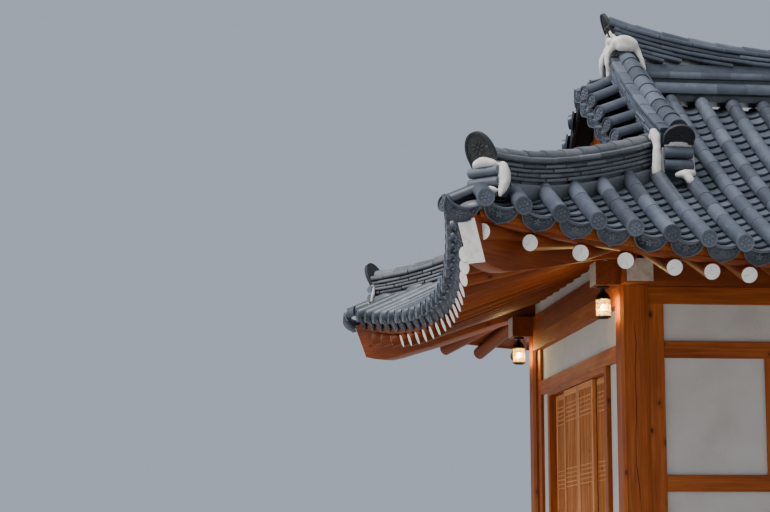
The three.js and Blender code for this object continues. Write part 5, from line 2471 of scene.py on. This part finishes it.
@dataclass
class Leaf:
    """A lattice leaf in its bay: a frame, thin bars and a panel behind them."""

    x: tuple[float, float]
    z: tuple[float, float]
    face: float
    uprights: int
    groups: tuple[tuple[float, int], ...]
    depth: float = 0.036
    stile: float = 0.055
    bar: float = 0.012
    pitch: float = 0.04

    def wood(self, batch: Joinery) -> None:
        """Frame and bars; groups gives each group of level bars by its share of the height and its number.

        Args:
            batch: takes the timber.
        """
        (x0, x1), (z0, z1), s, y0 = self.x, self.z, self.stile, self.face
        batch.frame((x0, y0, z0), (x1, y0 + self.depth, z1), (s, s, s), (0.003, 0.003))
        width = x1 - x0 - 2 * s
        for i in range(self.uprights):
            x = x0 + s + width * (i + 1) / (self.uprights + 1)
            batch.box((x - self.bar / 2, y0 + 0.006, z0 + s), (x + self.bar / 2, y0 + 0.020, z1 - s), 0.001)
        for share, count in self.groups:
            middle = z0 + s + (z1 - z0 - 2 * s) * share
            for i in range(count):
                z = middle + (i - (count - 1) / 2) * self.pitch
                batch.box(
                    (x0 + s, y0 + 0.007, z - self.bar / 2), (x1 - s, y0 + 0.019, z + self.bar / 2), 0.001
                )

    def panel(self, batch: Joinery) -> None:
        """The panel behind the bars.

        Args:
            batch: takes the panel.
        """
        s = self.stile - 0.001
        middle = self.face + 0.021
        batch.box((self.x[0] + s, middle, self.z[0] + s), (self.x[1] - s, middle + 0.004, self.z[1] - s), 0)


@dataclass
class Window:
    """Frame with two overlapping leaves."""

    bay: Bay
    frame: float = 0.052

    def build(self) -> None:
        """Makes the lattice and the paper."""
        name = f"window_{self.bay.name}"
        wood, paper = Joinery(91), Joinery(92)
        half, f = PLAN.window_half - PLAN.gap, self.frame
        z0, z1 = PLAN.top + PLAN.lower[1] + PLAN.gap, PLAN.top + PLAN.middle[0] - PLAN.gap
        y0, y1 = PLAN.recess + 0.012, PLAN.recess + 0.132
        wood.frame((-half, y0, z0), (half, y1, z1), (f, f, f), (0.004, 0.004))
        groups = ((0.86, 3), (0.5, 3), (0.12, 4))
        for x, face in (((-half + f, 0.0275), y0 + 0.024), ((-0.0275, half - f), y0 + 0.06)):
            leaf = Leaf(x, (z0 + f, z1 - f), face, 11, groups)
            leaf.wood(wood)
            leaf.panel(paper)
        for part, batch, finish in (("lattice", wood, PALE_PINE), ("paper", paper, PAPER)):
            batch.moved(self.bay.placed()).build(f"{name}_{part}", finish, "window_lattice", (name,))


@dataclass
class SlidingDoor:
    """Frame and four leaves on two tracks, in the left bay."""

    bay: Bay
    post: float = 0.09
    head: float = 0.05
    sill: float = 0.06

    def build(self) -> None:
        """Makes the frame and the leaves; each leaf rides on its own body."""
        z0, z1 = PLAN.top + PLAN.sill[1] + PLAN.gap, PLAN.top + PLAN.middle[0] - PLAN.gap
        half = PLAN.door_half - PLAN.gap
        y0, y1 = PLAN.recess - 0.01, PLAN.recess + PLAN.depth - 0.02
        wood = Joinery(95)
        wood.frame((-half, y0, z0), (half, y1, z1), (self.post, self.sill, self.head), (0.004, 0.003))
        wood.moved(self.bay.placed()).build("door_frame_timbers", PINE, "pine", ("door_frame",))
        opening = half - self.post
        width = (opening - 0.0075 + 0.05) / 2
        groups = ((0.90, 5), (0.5, 5), (0.10, 5))
        for place, leaf_name in enumerate(("rear_inner", "rear_outer", "front_outer", "front_inner")):
            name = f"door_leaf_{leaf_name}"
            outer = place in (1, 2)
            start = -0.0025 - width if outer else -opening + 0.005
            x = (-start - width, -start) if place > 1 else (start, start + width)
            face = PLAN.recess + 0.014 + (0 if outer else 0.044)
            leaf = Leaf(x, (z0 + self.sill + 0.0005, z1 - self.head - 0.005), face, 11, groups, pitch=0.042)
            parts = (("lattice", PALE_PINE, 97, leaf.wood), ("panel", PANEL, 101, leaf.panel))
            for part, finish, seed, draw in parts:
                batch = Joinery(seed + place)
                draw(batch)
                batch.moved(self.bay.placed()).build(f"{name}_{part}", finish, "door_lattice", (name,), name)


def column_stock(height: float, chamfer: float = 0.026) -> Stock:
    """A square column along X, its edges chamfered between two fine grooves.

    Args:
        height: its length.
        chamfer: width of its chamfers.

    Returns:
        The piece.
    """
    h, k, g = PLAN.column / 2, chamfer, 0.004
    corner = [
        (h - k - 0.011, -h), (h - k - 0.009, -h + g), (h - k - 0.003, -h + g), (h - k, -h),
        (h, -h + k), (h - g, -h + k + 0.003), (h - g, -h + k + 0.009), (h, -h + k + 0.011),
    ]
    outline = []
    for turn in range(4):
        c, s = round(math.cos(turn * math.pi / 2)), round(math.sin(turn * math.pi / 2))
        outline += [(c * x - s * y, s * x + c * y) for x, y in corner]
    return plate(outline, height).moved(LAID)


def columns() -> None:
    """The six columns, each copied from one model."""
    shaft = column_stock(PLAN.top - PLAN.seat)
    for i, row in ((-1, "left"), (0, "middle"), (1, "right")):
        for j, line in ((-1, "front"), (1, "rear")):
            batch = Batch(110 + 3 * i + j)
            foot = Vector((i * PLAN.bay, j * PLAN.bay / 2, PLAN.seat))
            batch.add(shaft, on(foot, foot + UP, BACK), shift=False)
            batch.build(f"column_{line}_{row}_shaft", OLD_PINE, "pine", (f"column_{line}_{row}",))


def wall_plates() -> None:
    """Plates over the columns with their crossed, white-painted ends."""
    low, high = PLAN.top + PLAN.gap, PLAN.top + 0.205
    half = (low + high) / 2
    for side in SIDES.values():
        wood, paint = Joinery(121), Batch(122)
        reach = side.half + 0.21
        y0, y1 = -side.depth, -side.depth + PLAN.column
        end = side.half - PLAN.column
        wood.box((-end, y0, low), (end, y1, high), 0)
        lap = (low, half) if side.is_long else (half, high)
        for hand in (-1, 1):
            a, b = sorted((hand * end, hand * side.half))
            wood.box((a, y0, lap[0]), (b, y1, lap[1]), 0)
            a, b = sorted((hand * side.half, hand * reach))
            wood.box((a, y0, low), (b, y1, high), 0.006)
            tip = Vector((hand * reach, -side.depth + PLAN.column / 2, half))
            paint.add(
                painted(0.114, 0.0965), on(tip - Vector((hand * 0.0015, 0, 0)), tip + Vector((hand, 0, 0))),
                shift=False
            )
        node = f"wall_plate_{side.name}"
        # The plates take the darker pine: painted shade under the eaves.
        wood.moved(side.placed()).build(f"{node}_timber", SHADED_PLATE_PINE, "pine", (node,))
        # The plate ends take the darkened paint: painted shade under the eaves.
        paint.moved(side.placed()).build(f"{node}_ends", SHADED_CREAM, "pine", (node,))


# Base, inside and lanterns


@dataclass
class Base:
    """Podium with pad stones, step stone, floor and the frame under the ridge."""

    reach: float = 0.9
    edge: float = 0.34
    joint: float = 0.002
    slab: float = 1.145
    pad_half: float = 0.17
    step_half: float = 0.65
    skirt: float = 0.26

    def podium(self) -> Joinery:
        """Edge blocks, slabs between them and the pad stones.

        Returns:
            The stones.
        """
        stone = Joinery(131)
        x, y, top = PLAN.half_x + self.reach, PLAN.half_y + self.reach, PLAN.podium
        deep, joint = self.edge, self.joint
        for hand in (-1, 1):
            near, far = sorted((hand * y, hand * (y - deep)))
            cuts = np.linspace(-x, x, 9)
            for a, b in zip(cuts, cuts[1:]):
                stone.box((a + joint, near, 0), (b - joint, far, top), 0.008)
            near, far = sorted((hand * x, hand * (x - deep)))
            cuts = np.linspace(-y + deep, y - deep, 5)
            for a, b in zip(cuts, cuts[1:]):
                stone.box((near, a + joint, 0), (far, b - joint, top), 0.008)
        for a in np.arange(-4, 4) * self.slab:
            for low, high in ((-2.63, -1.31), (-1.31, 0), (0, 1.31), (1.31, 2.63)):
                stone.box(
                    (a + joint, low + joint, 0.0), (a + self.slab - joint, high - joint, top - 0.004), 0.006
                )
        half = self.pad_half
        for a in (-PLAN.bay, 0, PLAN.bay):
            for b in (-PLAN.bay / 2, PLAN.bay / 2):
                stone.box((a - half, b - half, top - 0.05), (a + half, b + half, top + PLAN.pad), 0.014)
        return stone

    def step(self) -> Joinery:
        """The step stone at the sliding doors.

        Returns:
            The stone.
        """
        stone = Joinery(132)
        low, high, half = PLAN.podium + PLAN.gap, PLAN.podium + 0.25, self.step_half
        stone.box((-PLAN.half_x - 0.48, -half, low), (-PLAN.half_x - 0.08, half, high), 0.018)
        return stone

    def skirts(self) -> Joinery:
        """Walls from the podium up to the sills.

        Returns:
            The walls.
        """
        skirts = Joinery(133)
        low, high = PLAN.podium + PLAN.gap, PLAN.top + PLAN.sill[0] - PLAN.gap
        x, y = PLAN.half_x - 0.06, PLAN.half_y - 0.06
        for hand in (-1, 1):
            near, far = sorted((hand * y, hand * (y - self.skirt)))
            skirts.box((-x, near, low), (x, far, high), 0)
            near, far = sorted((hand * x, hand * (x - self.skirt)))
            skirts.box((near, -y + self.skirt, low), (far, y - self.skirt, high), 0)
        return skirts

    def floor(self) -> Joinery:
        """The floor inside the walls.

        Returns:
            The floor.
        """
        slab = Joinery(134)
        inside = PLAN.recess + PLAN.depth + PLAN.gap
        x, y = PLAN.half_x - inside, PLAN.half_y - inside
        slab.box((-x, -y, PLAN.seat), (x, y, 0.85), 0)
        return slab

    def frame(self) -> Joinery:
        """Tie beam, post and ridge beam.

        Returns:
            The timber.
        """
        wood = Joinery(135)
        y, under, end = PLAN.half_y - PLAN.column, ROOF.beam_top - 0.2, ROOF.gable_x - 0.012
        wood.box((-0.1, -y, 2.95), (0.1, y, 3.22), 0.012)
        wood.box((-0.09, -0.09, 3.21), (0.09, 0.09, under), 0.008)
        wood.box((-end, -0.1, under), (end, 0.1, ROOF.beam_top), 0.01)
        return wood

    def build(self) -> None:
        """Makes the objects."""
        self.podium().build("podium_blocks", GRANITE, "granite", ("podium",))
        self.step().build("step_stone_block", GRANITE, "granite", ("step_stone",))
        self.skirts().build("floor_skirt", PLASTER, "masonry", ("floor",))
        self.floor().build("floor_paper", FLOOR_PAPER, "masonry", ("floor",))
        self.frame().build("ridge_frame_timbers", OLD_PINE, "pine", ("ridge_frame",))


def held(data: bpy.types.ID, place: Matrix) -> bpy.types.Object:
    """Puts a light or a camera in its place.

    Args:
        data: the light or camera.
        place: where it goes.

    Returns:
        The object that holds it.
    """
    holder = bpy.data.objects.new(data.name, data)
    holder.matrix_world = place
    bpy.context.collection.objects.link(holder)
    return holder


@dataclass
class Lantern:
    """A lantern under the left eave: an iron plate, neck and cap over glass in a brass grid."""

    name: str
    y: float
    x: float = -PLAN.half_x - 0.125
    radius: float = 0.063
    wire: float = 0.0025

    def build(self) -> None:
        """Makes iron, grid, glass, lamp and light."""
        place, glow = move(self.x, self.y, PLAN.top), move(0, 0, -0.18)
        plate_and_cap = turned([
            (0.055, 0.0), (0.055, -0.013), (0.050, -0.018), (0.018, -0.021), (0.018, -0.040), (0.027, -0.048),
            (0.044, -0.066), (0.058, -0.088), (0.066, -0.108), (0.066, -0.113), (0.060, -0.115),
        ])
        foot = turned([(0.045, -0.276), (0.045, -0.270), (0.066, -0.266), (0.066, -0.258), (0.056, -0.256)])
        iron, glass, lamp = Batch(141), Batch(143), Batch(144)
        for piece in (plate_and_cap, foot):
            iron.add(piece, place)
        glass.add(turned([(0.052, -0.257), (0.058, -0.252), (0.058, -0.119), (0.052, -0.114)]), place)
        lamp.add(ball(16, 10, 0.024).scaled(z=1.3), place @ glow)
        parts = (
            ("iron", iron, IRON), ("grid", self.grid(place), BRASS), ("glass", glass, GLASS),
            ("lamp", lamp, LAMP)
        )
        node = f"lantern_{self.name}"
        for part, batch, finish in parts:
            batch.build(f"{node}_{part}", finish, "lantern_iron", (node,))
        light = bpy.data.lights.new(f"{node}_light", "POINT")
        light.energy, light.color, light.shadow_soft_size = 38.0, (1.0, 0.76, 0.25), 0.045
        held(light, place @ glow)

    def grid(self, place: Matrix) -> Batch:
        """Five hoops and eight upright wires.

        Args:
            place: place of the lantern.

        Returns:
            The grid.
        """
        batch = Batch(142)
        hoop = Bench(bpy.ops.mesh.primitive_torus_add, major_radius=self.radius, minor_radius=self.wire,
                     major_segments=24, minor_segments=6).stock()
        for z in (-0.118, -0.150, -0.186, -0.222, -0.254):
            batch.add(hoop, place @ move(0, 0, z))
        wire = rod_stock(self.wire, 6).scaled(x=0.144)
        for i in range(8):
            top = place @ rotate(math.tau * i / 8, "Z") @ Vector((self.radius, 0, -0.114))
            batch.add(wire, on(top, top + Vector((0, 0, -1)), BACK))
        return batch


# The whole


def tiled_roof() -> None:
    """Tiles, eaves and timber of all four sides, drawn on two and turned for the others."""
    disc, leaf = disc_stock(), leaf_stock()
    for drawn, other in (("front", "rear"), ("left", "right")):
        slope, eaves = TiledSlope(SIDES[drawn]), Eaves(SIDES[drawn])
        logs, paint = eaves.rafters()
        tiles = {"covers": slope.covers(), "pans": slope.pans(), "ends": slope.eave_ends(disc, leaf)}
        timber = {
            # The eave timbers take the darker pine: painted shade under the eaves.
            "rafters": (logs, SHADED_EAVE_PINE, "pine"),
            "rafter_ends": (paint, WHITE, "pine"),
            "boards": (eaves.boards(), SHADED_EAVE_PINE, "pine"),
            "batten": (eaves.strip(64, 0.175, 0.07, 0.062, 0.110, 0.010), SHADED_EAVE_PINE, "pine"),
            "fillet": (eaves.fillet(), PINE, "pine"),
            "infill": (eaves.infill(), PLASTER, "plaster"),
        }
        under = Bed(SIDES[drawn]).batch()
        for name in (drawn, other):
            place = SIDES[name].placed()
            node = f"roof_{name}"
            for part, batch in tiles.items():
                batch.moved(place).build(f"{node}_{part}", CLAY, "roof_tile", (node,), angle=30)
            for part, (batch, finish, slot) in timber.items():
                batch.moved(place).build(f"eave_{name}_{part}", finish, slot, (f"eave_{name}",))
            # The bed is near-black clay: painted shade in the gaps between the tiles.
            under.moved(place).build(f"{node}_bed", SHADE_BLACK_CLAY, "roof_tile", (node,))


def ridge_parts(ridge: HipRidge | GableRidge, clay: Finish) -> dict[str, tuple[Batch, Finish, str]]:
    """Parts of a ridge at the front left corner, with their finishes and slots.

    Args:
        ridge: the ridge.
        clay: finish of its tiles.

    Returns:
        Each part with its finish and slot, by its name.
    """
    # The plaques are near-black clay: painted shade.
    parts = {
        "tiles": (ridge.tiles(), clay), "plaque": (ridge.plaque(), SHADE_BLACK_CLAY), "lime": (ridge.lime(), LIME),
        "cap": (ridge.cap(), LIME), "under": (ridge.under(), CLAY),
    }
    return {name: (*part, "roof_tile") for name, part in parts.items()}


def ridges(shop: RidgeShop) -> None:
    """Corner rafters and all ridges with their plaques and lime.

    Args:
        shop: the pieces of all ridges.
    """
    rafter = CornerRafter()
    kinds = {
        # The hip ridge tiles take the lighter clay: painted light.
        "hip_ridge": ridge_parts(HipRidge(shop), LIT_HIP_CLAY),
        "gable_ridge": ridge_parts(GableRidge(shop), CLAY),
        "corner_rafter": {
            # The corner rafter takes the darker pine: painted shade under the eaves.
            "timber": (rafter.timber(), SHADED_EAVE_PINE, "pine"), "end": (rafter.paint(), WHITE, "pine")
        },
    }
    for corner, hands in CORNERS.items():
        for kind, parts in kinds.items():
            node = f"{kind}_{corner}"
            for part, (batch, finish, slot) in parts.items():
                batch.moved(mirror(hands)).build(f"{node}_{part}", finish, slot, (node,), angle=30)
    main_ridge = MainRidge(shop)
    # The plaques are near-black clay: painted shade.
    parts = (
        ("tiles", main_ridge.tiles(), CLAY), ("plaques", main_ridge.plaques(), SHADE_BLACK_CLAY),
        ("lime", main_ridge.lime(), LIME),
    )
    for part, batch, finish in parts:
        batch.build(f"main_ridge_{part}", finish, "roof_tile", ("main_ridge",), angle=30)


def gables() -> None:
    """Both gables, drawn on the left."""
    gable = Gable()
    rows, ends = gable.tiles(disc_stock(), leaf_stock())
    parts = (
        ("rows", rows, CLAY, "roof_tile"),
        ("row_ends", ends, CLAY, "roof_tile"),
        # Barge boards and soffit are near-black clay: painted shade under the verge.
        ("barge_boards", gable.band(0.11, 0.235, 0.035, -ROOF.gable_x - 0.285, 0.02), SHADE_BLACK_CLAY, "pine"),
        ("soffit", gable.band(0.055, 0.115, 0.275, -ROOF.gable_x - 0.275), SHADE_BLACK_CLAY, "pine"),
        ("wall_boards", gable.wall(), PINE, "pine"),
    )
    for name, turn in (("left", 0.0), ("right", math.pi)):
        node = f"gable_{name}"
        for part, batch, finish, slot in parts:
            batch.moved(rotate(turn, "Z")).build(f"{node}_{part}", finish, slot, (node,), angle=30)


def walls() -> None:
    """All bays with their windows, the doors, columns and plates."""
    half = PLAN.bay / 2
    places = {
        "front_left": (-half, -PLAN.half_y, 0.0), "front_right": (half, -PLAN.half_y, 0.0),
        "rear_left": (-half, PLAN.half_y, math.pi), "rear_right": (half, PLAN.half_y, math.pi),
        "right": (PLAN.half_x, 0.0, math.pi / 2),
    }
    for name, (x, y, turn) in places.items():
        bay = Bay(name, x, y, turn).window_wall()
        bay.build(f"wall_{name}")
        Window(bay).build()
    left = (-PLAN.half_x, 0.0, -math.pi / 2)
    Bay("left", *left).over_door().build("wall_left_over_door")
    Bay("left", *left).beside_door(-1).build("wall_left_rear_strip")
    Bay("left", *left).beside_door(1).build("wall_left_front_strip")
    sill = Bay("left", *left)
    sill.rail(PLAN.sill, -PLAN.clear, PLAN.clear)
    sill.build("sill_left")
    SlidingDoor(Bay("left", *left)).build()
    columns()
    wall_plates()


@dataclass
class Studio:
    """Pale floor, soft light and the camera of the photo."""

    camera: tuple[float, float, float] = (-8.214, -19.681, 0.774)
    focal: float = 100.17
    yaw: float = 7.069
    pitch: float = 8.63
    roll: float = -0.206

    def build(self) -> None:
        """Sets up floor, world, lights and camera."""
        bpy.ops.object.select_all(action="DESELECT")
        bpy.ops.mesh.primitive_plane_add(size=160)
        floor = bpy.context.active_object
        floor.name = "floor_stage"
        floor.data.materials.append(STAGE.build())
        world = bpy.data.worlds.new("studio")
        world.use_nodes = True
        sky = world.node_tree.nodes["Background"]
        sky.inputs["Color"].default_value = (0.70, 0.80, 0.95, 1)
        sky.inputs["Strength"].default_value = 0.55
        bpy.context.scene.world = world
        suns = (
            ("key", 4.8, (1.0, 0.98, 0.95), (0.5, 0.3, -1.0), 0.6),
            ("side", 0.75, (0.95, 0.96, 1.0), (1.0, 0.1, -0.35), 0.9),
            ("fill", 0.12, (1.0, 0.93, 0.85), (-0.1, 1.0, 0.1), 1.2),
        )
        for name, energy, color, aim, size in suns:
            light = bpy.data.lights.new(name, "SUN")
            light.energy, light.color, light.angle = energy, color, size
            held(light, Vector(aim).to_track_quat("-Z", "Y").to_matrix().to_4x4())
        yaw, pitch, roll = (math.radians(a) for a in (self.yaw, self.pitch, self.roll))
        ahead = Vector((math.sin(yaw) * math.cos(pitch), math.cos(yaw) * math.cos(pitch), math.sin(pitch)))
        right = Vector((math.cos(yaw), -math.sin(yaw), 0))
        up = right.cross(ahead)
        lens = bpy.data.cameras.new("camera")
        lens.lens, lens.sensor_width, lens.sensor_fit = self.focal, 36.0, "HORIZONTAL"
        place = axes(right, up, -ahead, self.camera) @ rotate(roll, "Z")
        bpy.context.scene.camera = held(lens, place)


def main() -> None:
    logging.basicConfig(level=logging.INFO, format="%(name)s: %(message)s")
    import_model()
    tiled_roof()
    ridges(RidgeShop())
    gables()
    walls()
    Base().build()
    Lantern("front", -PLAN.bay / 2).build()
    Lantern("rear", PLAN.bay / 2).build()
    Studio().build()


if __name__ == "__main__":
    main()
